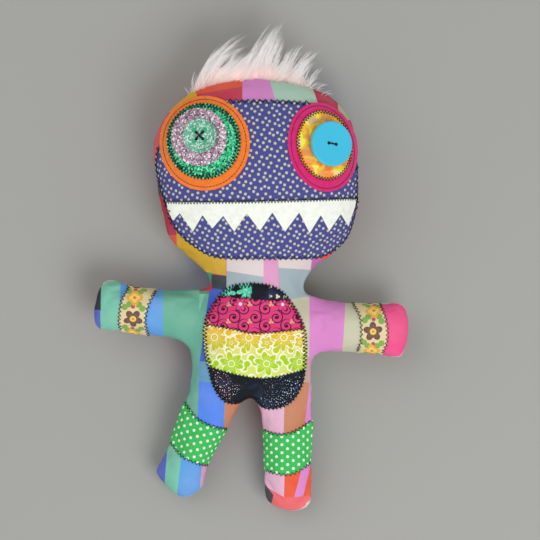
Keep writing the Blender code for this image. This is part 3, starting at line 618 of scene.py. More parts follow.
def daisy_cloth(name):
    """Orange-yellow that runs to lime, with white-lined blossoms and leaves on fine pale hatching."""
    paint = Cloth(name)
    _, along, _ = paint.axes(paint.rest)
    height = paint.ramp(along + (paint.noise(paint.rest, 60) - 0.5) * 0.008, -0.014, 0.014)
    deep = paint.mix((168, 216, 26), (244, 190, 40), height)
    soft = paint.mix((206, 226, 84), (246, 212, 96), height)
    across, up, _ = paint.axes(paint.here)
    hatch = ((across + up * 0.35) * 5200).maths("SINE")
    hatch = hatch * (up * 3100 + paint.noise(paint.here, 300) * 6).maths("SINE")
    base = paint.stain(soft, (250, 248, 190), hatch, 0.15, 0.55, 0.8)
    white = (253, 252, 222)
    for wide, tall, x, y, size, petals, waist, turn in (
        (0.0118, 0.0151, 0.0010, 0.0040, 0.0050, 2, 0.30, 0.8),
        (0.0118, 0.0131, 0.0069, 0.0101, 0.0046, 2, 0.30, 2.2),
        (0.0262, 0.0392, 0.0045, 0.0020, 0.0110, 8, 0.24, 0.3),
        (0.0262, 0.0392, 0.0176, 0.0216, 0.0096, 6, 0.30, 0.9),
        (0.0262, 0.0392, 0.0176, 0.0060, 0.0052, 5, 0.55, 0.2),
    ):
        cell = paint.lattice(wide, tall, x, y)
        share = paint.blossom(cell, size, petals, waist, turn)
        edge = 0.00045 / size
        base = paint.stain(base, white, share, 1.0 + edge * 2.6, 1.0 + edge)
        base = paint.stain(base, deep, share, 1.0 - edge * 0.4, 1.0 - edge * 2)
        if petals > 2:
            vein = paint.blossom(cell, size * 0.66, petals, 0.02, turn)
            base = paint.stain(base, soft, vein, 1.0, 0.8, 0.75)
            middle = paint.length(cell)
            for reach, tone in ((0.25, white), (0.18, deep), (0.10, soft)):
                base = paint.stain(base, tone, middle, size * (reach + 0.03), size * reach)
    return paint.woven(base)


def speckled_cloth(name):
    """Near black with fine pale specks, rosy on the left and blue on the right."""
    paint = Cloth(name)
    scale = 1 / 0.00165
    gap = paint.cells(paint.here, scale, "Distance", dimensions="2D")
    number, second, _ = paint.axes(paint.cells(paint.here, scale, "Color", dimensions="2D"))
    speck = paint.ramp(gap - (number * number * 0.20 + 0.06), 0.03, -0.03)
    across, _, _ = paint.axes(paint.rest)
    tone = paint.stain((255, 224, 234), (214, 238, 255), across, -0.022, -0.004)
    rosy = paint.ramp(second, 0.80, 0.82) * paint.ramp(across, -0.012, -0.022)
    blue = paint.ramp(second, 0.18, 0.16) * paint.ramp(across, -0.020, 0.0)
    tone = paint.mix(paint.mix(tone, (246, 70, 140), rosy), (70, 130, 240), blue)
    ground = paint.stain((22, 26, 34), (36, 46, 72), paint.noise(paint.rest, 70, 3), 0.50, 0.68)
    dense = paint.ramp(paint.noise(paint.rest, 55, 2), 0.40, 0.56)
    return paint.woven(paint.mix(ground, tone, speck * dense))


def leafy_cloth(name):
    """Navy and black, with mint leaves at the left and a few cream touches at the right."""
    paint = Cloth(name)
    ground = paint.stain((24, 26, 36), (40, 48, 84), paint.noise(paint.rest, 65, 2), 0.42, 0.60)
    across, _, _ = paint.axes(paint.rest)
    leaf = paint.blossom(paint.lattice(0.0160, 0.0120, 0.0062, 0.0030), 0.0084, 7, 0.34, 0.9)
    mottled = paint.stain((128, 238, 204), (84, 204, 168), paint.noise(paint.rest, 500, 2), 0.4, 0.62)
    left = paint.ramp(across + paint.noise(paint.rest, 160, 2) * 0.012, 0.0035, 0.0015)
    base = paint.stain(ground, mottled, leaf, 1.0, 0.9, left)
    small = paint.blossom(paint.lattice(0.0060, 0.0072, 0.001, 0.0), 0.0020, 3, 0.4)
    right = paint.ramp(across, 0.010, 0.013)
    return paint.woven(paint.stain(base, (236, 226, 176), small, 1.0, 0.85, right))


def ribbon_cloth(name, shift):
    """Woven ribbon: cream, with brown blossoms, green leaves, red berries and yellow bells."""
    paint = Cloth(name, 0.75)
    pitch = 0.0330
    moved = paint.vec("SUBTRACT", [paint.here, (*shift, 0)])
    ends = [(pitch / 2, 1, 1), (-pitch / 2, -1, -1)]
    cell = paint.vec("WRAP", [moved, *ends])
    other = paint.vec("WRAP", [paint.vec("ADD", [moved, (pitch / 2, 0, 0)]), *ends])
    base = paint.mix((232, 216, 172), (220, 200, 150), paint.noise(paint.rest, 200, 2))
    for x, y, turn in (
        (0.0098, 0.0050, 0.5), (0.0096, -0.0052, 2.4), (-0.0098, 0.0052, 2.2), (-0.0098, -0.0050, 0.8)
    ):
        leaf = paint.blossom(cell, 0.0046, 2, 0.26, turn, x, y)
        base = paint.stain(base, (120, 168, 60), leaf, 1.0, 0.85)
    for x, y in ((0.0092, 0.0), (-0.0094, 0.0006)):
        base = paint.stain(base, (196, 44, 40), paint.away(cell, x, y), 0.0017, 0.0014)
    bell = paint.blossom(other, 0.0066, 4, 0.62, 0.3)
    petals = paint.blossom(cell, 0.0076, 5, 0.56, 0.2)
    middle = paint.length(cell)
    for tone, value, low, high in (
        ((240, 170, 40), bell, 1.0, 0.92),
        ((250, 214, 96), bell, 0.66, 0.55),
        ((226, 110, 40), bell, 0.26, 0.18),
        ((84, 42, 34), petals, 1.0, 0.93),
        ((112, 54, 42), petals, 0.74, 0.62),
        ((240, 206, 84), middle, 0.0026, 0.0022),
        ((206, 140, 50), middle, 0.0011, 0.0008),
    ):
        base = paint.stain(base, tone, value, low, high)
    rib, _, _ = paint.axes(paint.here)
    _, edge, _ = paint.axes(moved)
    ridges = (rib * 9000).maths("SINE") * 0.5 + (edge * 5200).maths("SINE") * 0.5
    paint.feed("Base Color", paint.mix(base, (250, 240, 206), ridges * 0.08 + 0.08))
    paint.bump(ridges, 0.00008, 0.8)
    return paint.material


def satin_cloth(name):
    """Shiny yellow satin in folds, with orange in it, bright yellow and cream painted highlights, and
    beige-grey painted shade in the folds.
    """
    paint = Cloth(name, 0.30, Sheen_Weight=0.3)
    drift = paint.noise(paint.rest, 60, 2, 1)
    bent = paint.vec("MULTIPLY_ADD", [drift, (0.020, 0.020, 0.020), paint.rest])
    # The first noise sets the satin's yellow and its painted highlights; the second, other, sets its orange
    # and its painted shade in the folds.
    satin_tone_and_highlight = paint.noise(bent, 105, 1)
    other = paint.noise(paint.vec("ADD", [bent, (0.31, 0.17, 0.05)]), 85, 1)
    base = (232, 158, 80)
    # The satin's yellow; bright yellow and cream as painted highlights; orange; beige-grey as painted shade
    # in the folds.
    for tone, value, low, high, share in (
        ((250, 196, 44), satin_tone_and_highlight, 0.36, 0.46, 1),
        ((254, 236, 70), satin_tone_and_highlight, 0.50, 0.58, 1),
        ((250, 226, 150), satin_tone_and_highlight, 0.64, 0.70, 1),
        ((252, 132, 44), other, 0.54, 0.64, 0.9),
        ((214, 172, 130), other, 0.36, 0.30, 0.8),
    ):
        base = paint.stain(base, tone, value, low, high, share)
    paint.feed("Base Color", base)
    paint.bump(paint.noise(bent, 150, 1), 0.0022, 0.9)
    return paint.material


def button_plastic(name):
    """Milky mint plastic full of fine glitter, greener in four places."""
    paint = Cloth(name, 0.28)
    flake = paint.cells(paint.rest, 1 / 0.0009, "Color")
    first, second, _ = paint.axes(flake)
    folded = paint.vec("MULTIPLY", [paint.vec("ABSOLUTE", [paint.attribute("own")]), (1, 1, 0)])
    hole = paint.away(folded, GREEN_SPOT, GREEN_SPOT)
    base = paint.stain((40, 170, 118), (112, 184, 156), hole, 0.0017, 0.0022)
    base = paint.stain(base, (204, 232, 220), first, 0.68, 0.72, paint.ramp(hole, 0.0014, 0.0024))
    paint.feed("Base Color", paint.stain(base, (92, 150, 128), second, 0.84, 0.87))
    paint.feed("Metallic", paint.ramp(second, 0.5, 0.6) * 0.4)
    paint.askew(flake, 0.5)
    return paint.material


def pile(name):
    """Long white pile, pink where it leaves the seam, with a faint painted glow in its own colour."""
    paint = Paint(name, 0.55, Sheen_Weight=0.4, Emission_Strength=0.17)
    base = paint.stain((252, 224, 217), (247, 244, 242), paint.attribute("along", 2), 0.06, 0.34)
    base = paint.mix(base, (240, 238, 240), paint.attribute("strand", 2) * 0.5)
    paint.feed("Base Color", base)
    # Painted light: the pile glows in its own colour, so that it looks lit where its strands shade each
    # other.
    paint.feed("Emission Color", base)
    return paint.material


# Lines, fields and meshes


def resampled(line, steps_for, closed):
    """The same line in even steps, as many as a function of its length says."""
    along = np.concatenate([[0], np.cumsum(np.linalg.norm(np.diff(line, axis=0), axis=1))])
    wanted = np.linspace(0, along[-1], steps_for(along[-1]) + 1)
    even = np.stack([np.interp(wanted, along, line[:, axis]) for axis in range(line.shape[1])], 1)
    return even[:-1] if closed else even


def even_line(points, step, closed=True):
    """A smooth line through places, resampled at even steps."""
    points = np.array(points, float)
    count = len(points)
    shares = np.linspace(0, 1, 12, endpoint=False)[:, None]
    parts = []
    for number in range(count if closed else count - 1):
        picks = np.arange(number - 1, number + 3)
        before, first, last, after = points[picks % count if closed else np.clip(picks, 0, count - 1)]
        parts.append(
            first
            + (last - before) * shares / 2
            + (2 * before - 5 * first + 4 * last - after) * shares**2 / 2
            + (3 * first - before - 3 * last + after) * shares**3 / 2
        )
    parts.append(points[:1] if closed else points[-1:])
    return resampled(np.concatenate(parts), lambda length: max(4, round(length / step)), closed)


def inward_of(line):
    """The way inwards at each point of a clockwise line."""
    turned = np.roll(line, -1, 0) - np.roll(line, 1, 0)
    return np.stack([turned[:, 1], -turned[:, 0]], 1) / np.linalg.norm(turned, axis=1)[:, None]


def inside(places, outline):
    """Which places lie inside a closed line."""
    within = np.zeros(len(places), bool)
    x, y = places[:, 0], places[:, 1]
    for (x1, y1), (x2, y2) in zip(outline, np.roll(outline, -1, 0)):
        if y1 != y2:
            within ^= ((y1 > y) != (y2 > y)) & (x < (x2 - x1) * (y - y1) / (y2 - y1) + x1)
    return within


def edge_distance(places, outline):
    """How far each place is from a closed line."""
    nearest = np.full(len(places), np.inf)
    for first, last in zip(outline, np.roll(outline, -1, 0)):
        run = last - first
        share = np.clip(((places - first) @ run) / (run @ run), 0, 1)
        nearest = np.minimum(nearest, np.linalg.norm(places - first - share[:, None] * run, axis=1))
    return nearest


def runs_of(chosen):
    """Numbers in rising order, split where one is left out."""
    return np.split(chosen, np.flatnonzero(np.diff(chosen) != 1) + 1)


def outside(line, *shapes):
    """The stretches of a closed line that lie outside other closed lines."""
    free = ~np.any([inside(line, shape) for shape in shapes], axis=0)
    first = -int(np.argmin(free))
    line, free = np.roll(line, first, 0), np.roll(free, first)
    return [line[run] for run in runs_of(np.flatnonzero(free)) if len(run) > 2]


def inset(pixels, distance):
    """A closed line in the photograph moved inwards."""
    line = even_line(pixels, 3.0)
    area = (line[:, 0] * np.roll(line[:, 1], -1) - line[:, 1] * np.roll(line[:, 0], -1)).sum()
    return line + inward_of(line) * distance * (-1 if area > 0 else 1)


def shrunk(oval, distance):
    across, down, wide, high, *turn = oval
    return (across, down, wide - distance, high - distance, *turn)


def spots(*pixels):
    """Places beside the doll, which close a strip of cloth there."""
    return [spot(*pixel) for pixel in pixels]


def sampled(field, places):
    """A field's values at places, between its grid's points."""
    low, step, values = field
    at = (places - low) / step
    cell = np.clip(np.floor(at).astype(int), 0, np.array(values.shape)[::-1] - 2)
    share = np.clip(at - cell, 0, 1)
    column, row = cell[:, 0], cell[:, 1]
    across, along = share[:, 0], share[:, 1]
    near = values[row, column] * (1 - across) + values[row, column + 1] * across
    far = values[row + 1, column] * (1 - across) + values[row + 1, column + 1] * across
    return near * (1 - along) + far * along


def link(obj):
    bpy.context.scene.collection.objects.link(obj)


def new_object(name, points, faces):
    mesh = bpy.data.meshes.new(name)
    mesh.from_pydata([tuple(p) for p in points], [], [tuple(f) for f in faces])
    mesh.update()
    obj = bpy.data.objects.new(name, mesh)
    link(obj)
    return obj


def choose(obj):
    bpy.ops.object.select_all(action="DESELECT")
    obj.select_set(True)
    bpy.context.view_layer.objects.active = obj


def apply_all(obj):
    choose(obj)
    for modifier in list(obj.modifiers):
        bpy.ops.object.modifier_apply(modifier=modifier.name)


def places_of(obj):
    places = np.empty(len(obj.data.vertices) * 3, np.float32)
    obj.data.vertices.foreach_get("co", places)
    return places.reshape(-1, 3).astype(float)


def move_points(obj, places):
    obj.data.vertices.foreach_set("co", places.astype(np.float32).ravel())
    obj.data.update()


def keep_values(obj, label, values):
    """Stores a number or a place for each point of a mesh."""
    values = np.asarray(values, np.float32)
    kind, key = ("FLOAT_VECTOR", "vector") if values.ndim == 2 else ("FLOAT", "value")
    obj.data.attributes.new(label, kind, "POINT").data.foreach_set(key, values.ravel())


def dropped(tree, x, y):
    """The topmost point of a surface at a place, and its normal."""
    return tree.ray_cast(Vector((x, y, OVER_ALL)), Vector((0, 0, -1)))[:2]


def smoothed(values, faces, rounds):
    """Values of a mesh's points, each drawn towards its neighbours' mean."""
    pairs = np.array([pair for face in faces for pair in zip(face, face[1:] + face[:1])])
    pairs = np.unique(np.sort(pairs, axis=1), axis=0)
    count = np.bincount(pairs.ravel(), minlength=len(values))[:, None]
    for _ in range(rounds):
        total = np.zeros_like(values)
        np.add.at(total, pairs[:, 0], values[pairs[:, 1]])
        np.add.at(total, pairs[:, 1], values[pairs[:, 0]])
        values = (values + total / np.maximum(count, 1)) / 2
    return values


def is_closed(piece):
    shape = bmesh.new()
    shape.from_mesh(piece.data)
    whole = all(edge.is_manifold for edge in shape.edges)
    shape.free()
    return whole


# The stuffed body


def membrane(outline, steps=(0.006, 0.003, 0.0015), rounds=350):
    """A membrane blown up over the outline: the square of a stuffed form's height."""
    low, high = outline.min(0) - 0.008, outline.max(0) + 0.008
    field = None
    for step in steps:
        across, along = (np.arange(low[axis], high[axis], step) for axis in (0, 1))
        places = np.stack(np.meshgrid(across, along), -1)
        flat = places.reshape(-1, 2)
        mask = inside(flat, outline).reshape(places.shape[:2])
        values = np.zeros(mask.shape) if field is None else sampled(field, flat).reshape(mask.shape)
        for _ in range(rounds):
            spread = np.zeros_like(values)
            spread[1:-1, 1:-1] = (
                values[:-2, 1:-1] + values[2:, 1:-1] + values[1:-1, :-2] + values[1:-1, 2:] + step**2
            ) / 4
            values = spread * mask
        field = (low, step, values)
    return field


def limb_line(name):
    """Where a limb starts to bend: the line's two ends, and the way out along the limb."""
    start, end = (np.array(spot(*pixel)) for pixel in LIMBS[name][:2])
    out = np.array([end[1] - start[1], start[0] - end[0]])
    out /= np.linalg.norm(out)
    if out @ start < 0:
        out = -out
    return start, end, out


def beyond(name, places):
    """How far places are past the line that a limb starts from, or 0 off that limb."""
    start, _, out = limb_line(name)
    past = (places - start) @ out
    if name == "head":
        return np.where(places[:, 1] > 0.03, past, 0)
    if name.endswith("arm"):
        side = np.sign(out[0])
        off = (places[:, 0] * side < 0.02) | (beyond("head", places) > 0) | (places[:, 1] < -0.02)
        return np.where(off, 0, past)
    side = 1 if name.startswith("right") else -1
    return np.where((places[:, 1] > 0.0) | (places[:, 0] * side < -0.004 * side), 0, past)


def seam_level(places):
    """The height of the seam over the table: head and arms rise, and the legs sink."""
    level = np.full(len(places), BODY_LEVEL)
    for name, slope in SEAM_SLOPES.items():
        past = np.maximum(beyond(name, places), 0)
        level += slope * past**2 / (past + 0.012)
    return level


def body_depth(places):
    """How thick the stuffing stands against the membrane's own height."""
    limb = sum(np.clip(beyond(name, places) / 0.04, 0, 1) for name in LIMBS if name != "head")
    head = np.clip(beyond("head", places) / 0.05, 0, 1)
    return 0.90 + 0.26 * limb * limb * (3 - 2 * limb) + 0.06 * head


def stuffed_form(outline):
    """Front and back panel over the outline, closed along the seam."""
    field = membrane(outline)
    inward = inward_of(outline)
    inner = []
    for depth in RIM_INSETS:
        ring = outline + inward * depth
        inner.append(ring[inside(ring, outline) & (edge_distance(ring, outline) > depth * 0.9)])
    low, high = outline.min(0), outline.max(0)
    columns, rows = (np.arange(low[axis], high[axis], CORE_STEP) for axis in (0, 1))
    core = np.stack(np.meshgrid(columns, rows), -1)
    core[::2, :, 0] += CORE_STEP / 2
    core = core.reshape(-1, 2)
    core = core[inside(core, outline)]
    inner.append(core[edge_distance(core, outline) > RIM_INSETS[-1] + CORE_STEP * 0.6])
    flat = np.concatenate([outline, *inner])
    made = delaunay_2d_cdt([Vector(p) for p in flat], [], [list(range(len(outline)))], 1, 1e-6)
    flat = np.array([tuple(p) for p in made[0]])
    on_rim = edge_distance(flat, outline) < 1e-5
    height = np.where(on_rim, 0, np.sqrt(np.maximum(sampled(field, flat), 0)) * body_depth(flat))
    level = seam_level(flat)
    front = np.column_stack([flat, level + height])
    back = np.column_stack([flat, level - height])
    below = np.where(on_rim, 0, len(flat)) + np.arange(len(flat))
    faces = []
    for a, b, c in made[2]:
        if np.cross(flat[b] - flat[a], flat[c] - flat[a]) < 0:
            b, c = c, b
        faces += [(a, b, c), (below[a], below[c], below[b])]
    form = new_object("stuffed_form", np.concatenate([front, back]), faces)
    choose(form)
    bpy.ops.object.mode_set(mode="EDIT")
    bpy.ops.mesh.select_all(action="SELECT")
    bpy.ops.mesh.delete_loose()
    bpy.ops.object.mode_set(mode="OBJECT")
    return form


def blow_up(form):
    """Voxel remesh, then cloth under pressure that is held along the seam."""
    form.data.remesh_voxel_size = VOXEL
    choose(form)
    bpy.ops.object.voxel_remesh()
    smooth = form.modifiers.new("Even", "SMOOTH")
    smooth.factor = 0.5
    smooth.iterations = 3
    apply_all(form)
    before = places_of(form)
    held = form.vertex_groups.new(name="held")
    off_seam = np.abs(before[:, 2] - seam_level(before[:, :2]))
    held.add([int(i) for i in np.flatnonzero(off_seam < VOXEL * 0.6)], 1.0, "REPLACE")
    cloth = form.modifiers.new("Cloth", "CLOTH").settings
    cloth.quality = 5
    cloth.mass = 0.2
    cloth.bending_stiffness = 0.05
    cloth.use_pressure = True
    cloth.uniform_pressure_force = 4
    cloth.shrink_min = -SLACK
    cloth.vertex_group_mass = held.name
    cloth.effector_weights.gravity = 0
    for step in range(1, CLOTH_FRAMES + 1):
        bpy.context.scene.frame_set(step)
    apply_all(form)
    bpy.context.scene.frame_set(1)
    moved = places_of(form) - before
    length = np.linalg.norm(moved, axis=1)
    move_points(form, before + moved * np.minimum(1, PUCKER / np.maximum(length, 1e-9))[:, None])
    return form


def settle(form):
    """The seam drawn in a little, and the back pressed flat on the table."""
    soft = form.modifiers.new("Soft", "SUBSURF")
    soft.levels = 1
    soft.render_levels = 1
    apply_all(form)
    places = places_of(form)
    normals = np.array([tuple(v.normal) for v in form.data.vertices])
    off_seam = places[:, 2] - seam_level(places[:, :2])
    groove = np.exp(-((off_seam / SEAM_HALF) ** 2))
    places -= normals * (SEAM_GROOVE * groove)[:, None]
    low = places[:, 2] < SOFT_FLOOR
    places[low, 2] = SOFT_FLOOR * np.exp((places[low, 2] - SOFT_FLOOR) / SOFT_FLOOR)
    move_points(form, places)
    return form


# The body cut where its limbs start to bend, into one stretch for the torso and each limb


def on_line(name, places, reach):
    """Which places are this near to the line that a limb starts from."""
    start, end, out = limb_line(name)
    run = end - start
    length = np.linalg.norm(run)
    flat = np.array([tuple(place)[:2] for place in places]) - start
    along = flat @ run / length
    return (np.abs(flat @ out) < reach) & (along > -0.003) & (along < length + 0.003)


def cut_along(shape, name):
    """Cuts the skin with an upright plane along a limb's line."""
    start, _, out = limb_line(name)
    near = on_line(name, [face.calc_center_median() for face in shape.faces], 0.006)
    faces = [face for face, is_near in zip(shape.faces, near) if is_near]
    edges = dict.fromkeys(edge for face in faces for edge in face.edges)
    points = dict.fromkeys(point for face in faces for point in face.verts)
    bmesh.ops.bisect_plane(
        shape,
        geom=[*points, *edges, *faces],
        dist=1e-5,
        plane_co=(*start, 0),
        plane_no=(*out, 0),
    )


def stretches_of(body):
    """The skin's faces by the stretch that they belong to."""
    shape = bmesh.new()
    shape.from_mesh(body.data)
    for name in LIMBS:
        cut_along(shape, name)
    shape.normal_update()
    shape.verts.index_update()
    crossed = set()
    for name in LIMBS:
        near = on_line(name, [point.co for point in shape.verts], 2e-5)
        on_cut = {point for point, is_near in zip(shape.verts, near) if is_near}
        crossed |= {edge for point in on_cut for edge in point.link_edges if edge.other_vert(point) in on_cut}
    left = dict.fromkeys(shape.faces)
    owner = {}
    while left:
        seed, _ = left.popitem()
        island, waiting = [seed], [seed]
        while waiting:
            for edge in waiting.pop().edges:
                if edge in crossed:
                    continue
                for face in edge.link_faces:
                    if face in left:
                        del left[face]
                        island.append(face)
                        waiting.append(face)
        middle = np.mean([tuple(face.calc_center_median())[:2] for face in island], axis=0)[None]
        reach = {name: float(beyond(name, middle)[0]) for name in LIMBS}
        name = max(reach, key=reach.get)
        owner.update({face: name if reach[name] > 0.01 else "torso" for face in island})
    return shape, owner


def skin_piece(name, owner):
    """One stretch of the skin, closed inside the body where it was cut."""
    points, index, faces, normals, rims = [], {}, [], [], {}
    for face in (face for face in owner if owner[face] == name):
        ring = []
        for point in face.verts:
            if point.index not in index:
                index[point.index] = len(points)
                points.append(tuple(point.co))
                normals.append(tuple(point.normal))
            ring.append(index[point.index])
        faces.append(ring)
        for edge in face.edges:
            for other in edge.link_faces:
                if owner[other] != name:
                    rims.setdefault(owner[other], []).append(edge)
    outside = len(faces)
    for rim in rims.values():
        faces.extend(cap_of(rim, index, points))
    piece = new_object(f"{name}_skin", points, faces)
    mesh = piece.data
    mesh.polygons.foreach_set("use_smooth", [True] * len(faces))
    corners = []
    for number, polygon in enumerate(mesh.polygons):
        own = tuple(polygon.normal)
        corners.extend(normals[vertex] if number < outside else own for vertex in polygon.vertices)
    mesh.normals_split_custom_set(corners)
    return piece


def cap_of(rim, index, points):
    """Triangles that close one cut, turned towards the way out of the piece."""
    follow = {}
    for edge in rim:
        first, last = (index[point.index] for point in edge.verts)
        follow.setdefault(first, []).append(last)
        follow.setdefault(last, []).append(first)
    if len(rim) < 3:
        return []
    loop = [next(iter(follow))]
    previous = None
    while True:
        onward = [n for n in follow[loop[-1]] if n != previous]
        previous = loop[-1]
        if not onward or onward[0] == loop[0]:
            break
        loop.append(onward[0])
    flat = np.array([points[number] for number in loop])
    middle = flat.mean(0)
    run = np.linalg.svd(flat - middle)[2][:2]
    drawn = (flat - middle) @ run.T
    made = delaunay_2d_cdt([Vector(p) for p in drawn], [], [list(range(len(loop)))], 1, 1e-7)
    inner = np.array(points).mean(0)
    capped = []
    for triangle in made[2]:
        ring = [loop[made[3][number][0]] for number in triangle]
        a, b, c = (np.array(points[number]) for number in ring)
        if np.cross(b - a, c - a) @ (middle - inner) < 0:
            ring.reverse()
        capped.append(ring)
    return capped


def bend(piece, limb):
    """A piece on a limb, with its transform baked into its mesh."""
    start, end, out = limb_line(limb)
    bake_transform(piece)


def go_with(piece, body):
    """A piece is parented to its body's empty, or, on a limb, has its transform baked into its mesh."""
    if body in LIMBS:
        bend(piece, body)
    else:
        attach(piece, body)


def stand_for(node):
    """Hides the CAD node that a piece stands in for."""
    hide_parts(node)


# The surface under each layer, and the cloth's own measure over it


class Ground:
    """The surface that the next layer lies on."""

    def __init__(self, obj):
        self.points, self.faces = [], []
        self.add(obj)
        self.bare = self.tree

    def add(self, obj):
        first = len(self.points)
        self.points += [tuple(v.co) for v in obj.data.vertices]
        self.faces += [tuple(first + i for i in p.vertices) for p in obj.data.polygons]
        self.tree = BVHTree.FromPolygons(self.points, self.faces)

    def under(self, x, y):
        """The surface's point at a place, or the nearest one beside it."""
        return dropped(self.tree, x, y)[0] or self.tree.find_nearest(Vector((x, y, SEAM_LEVEL)))[0]

    def seen(self, across, down):
        """The point of the surface that the photograph shows at a pixel."""
        level = 0.05
        for _ in range(3):
            x, y = spot(across, down, level)
            level = self.under(x, y).z
        return x, y

    def line(self, pixels, step=0.0020, closed=True):
        return even_line([self.seen(*pixel) for pixel in pixels], step, closed)

    def open_line(self, pixels):
        return self.line(pixels, closed=False)

    def corners(self, pixels, step=0.0020):
        """A closed line that keeps its corners."""
        places = np.array([self.seen(*pixel) for pixel in pixels])
        parts = []
        for first, last in zip(places, np.roll(places, -1, 0)):
            count = max(1, ceil(np.linalg.norm(last - first) / step))
            parts.append(first + (last - first) * (np.arange(count) / count)[:, None])
        return np.concatenate(parts)

    def oval(self, across, down, wide, high, turn=0.0, steps=72):
        """An oval's line, from its middle, half its sides and its turn in the photograph."""
        places = []
        for number in range(steps):
            angle = 2 * pi * number / steps
            right, up = wide * cos(angle), high * sin(angle)
            pixel = (across + right * cos(turn) - up * sin(turn), down + right * sin(turn) + up * cos(turn))
            places.append(self.seen(*pixel))
        return np.array(places)


def follow_cad(form):
    """Shifts the front, smoothly, to the height of the CAD's front cloths."""
    cad = Ground(bpy.data.objects["torso_front_cloth"])
    for name in LIMBS:
        cad.add(bpy.data.objects[f"{name}_front_cloth"])
    places = places_of(form)
    tree = BVHTree.FromPolygons([tuple(p) for p in places], [tuple(f.vertices) for f in form.data.polygons])
    low, step = places[:, :2].min(0) - 0.006, 0.004
    shape = np.ceil((places[:, :2].max(0) + 0.006 - low) / step).astype(int)[::-1]
    gap, weight = np.zeros(shape), np.zeros(shape)
    for row, column in np.ndindex(*shape):
        x, y = low[0] + column * step, low[1] + row * step
        wanted, found = dropped(cad.tree, x, y)[0], dropped(tree, x, y)[0]
        if wanted and found and min(wanted.z, found.z) > SEAM_LEVEL:
            gap[row, column] = wanted.z - found.z
            weight[row, column] = 1
    for _ in range(12):
        for field in (gap, weight):
            beside = field[:-2, 1:-1], field[2:, 1:-1], field[1:-1, :-2], field[1:-1, 2:]
            field[1:-1, 1:-1] = sum(beside, field[1:-1, 1:-1] * 2) / 6
    shift = (low, step, np.clip(gap / np.maximum(weight, 0.02), -0.009, 0.005))
    over = np.clip((places[:, 2] - seam_level(places[:, :2])) / 0.018, 0, 1)
    places[:, 2] += sampled(shift, places[:, :2]) * over * over * (3 - 2 * over)
    move_points(form, places)
    return form


def height_grid(tree):
    """The front's height over the table, on a grid."""
    low, step, height = np.array([-0.135, -0.140]), 0.0015, np.empty((240, 180))
    for row, column in np.ndindex(*height.shape):
        found = dropped(tree, low[0] + column * step, low[1] + row * step)[0]
        height[row, column] = found.z if found else SEAM_LEVEL
    return low, step, height


def over_surface(starts, places):
    """How far places are from their starts, over the front and then straight down its side."""
    run = places[:, :2] - starts
    far = np.linalg.norm(run, axis=1)
    near = np.maximum(far - 0.004, 0) / np.maximum(far, 1e-6)
    shares = np.linspace(0, 1, 25) * near[:, None]
    on_way = (starts[:, None] + run[:, None] * shares[..., None]).reshape(-1, 2)
    height = sampled(HEIGHTS, on_way).reshape(-1, 25)
    rise = np.clip(np.diff(height, axis=1), -0.004, 0.004)
    length = np.hypot(rise, (far * near / 24)[:, None]).sum(1)
    return length + np.hypot(far * (1 - near), np.clip(height[:, -1] - places[:, 2], 0, None))


def round_limb(limb, places):
    """Places in the cloth's measure on a limb: across it, and along it."""
    start, end = (np.array(spot(*pixel)) for pixel in LIMB_AXES[limb])
    along = (end - start) / np.linalg.norm(end - start)
    across = np.array([-along[1], along[0]])
    off = places[:, :2] - start
    feet = start + (off @ along)[:, None] * along
    return over_surface(feet, places) * np.sign(off @ across), off @ along


def from_middle(middle, places):
    """Places in the cloth's measure round a middle: as far as the way there over the surface."""
    middle = np.array(spot(*middle, 0.06))
    run = places[:, :2] - middle
    length = over_surface(np.tile(middle, (len(places), 1)), places)
    return (run * (length / np.maximum(np.linalg.norm(run, axis=1), 1e-6))[:, None]).T


def remember(piece, limb=None):
    """Each point's place at rest, its height over the seam and its place in the cloth's measure."""
    places = places_of(piece)
    keep_values(piece, "rest", places)
    keep_values(piece, "over_seam", places[:, 2] - seam_level(places[:, :2]))
    if limb in LIMB_AXES:
        across, along = round_limb(limb, places)
    else:
        across, along = from_middle(MIDDLES[limb or "torso"], places)
    keep_values(piece, "cloth", np.column_stack([across, along, np.zeros(len(places))]))


# Layers


def add_prism(line):
    """An upright prism over a closed line, to cut layers with."""
    line = np.array(line)
    onward = np.roll(line, -1, 0)
    if (line[:, 0] * onward[:, 1] - line[:, 1] * onward[:, 0]).sum() < 0:
        line = line[::-1]
    count = len(line)
    points = [(x, y, z) for z in PRISM for x, y in line]
    made = delaunay_2d_cdt([Vector(p) for p in line], [], [list(range(count))], 1, 1e-7)
    faces = []
    for triangle in made[2]:
        ring = [made[3][number][0] for number in triangle]
        a, b, c = (line[number] for number in ring)
        if (b[0] - a[0]) * (c[1] - a[1]) < (b[1] - a[1]) * (c[0] - a[0]):
            ring.reverse()
        faces += [[count + number for number in ring], ring[::-1]]
    for number in range(count):
        after = (number + 1) % count
        faces.append([number, after, count + after, count + number])
    return new_object("cutter", points, faces)


def cut_with(piece, cutter, operation, solver="EXACT"):
    """A boolean with an object that is then removed."""
    cut = piece.modifiers.new("Cut", "BOOLEAN")
    cut.operation = operation
    cut.object = cutter
    cut.solver = solver
    apply_all(piece)
    bpy.data.objects.remove(cutter)


def trim(piece, line):
    """Keeps what lies inside a closed line, seen from above, and tries again if the cut fails."""
    whole = piece.data.copy()
    for solver, nudge in (("EXACT", 0), ("EXACT", 2e-5), ("FAST", 0), ("FAST", 3e-5), ("EXACT", -4e-5)):
        cut_with(piece, add_prism(np.array(line) + nudge), "INTERSECT", solver)
        if len(piece.data.polygons) > 20 and is_closed(piece):
            return
        piece.data = whole.copy()


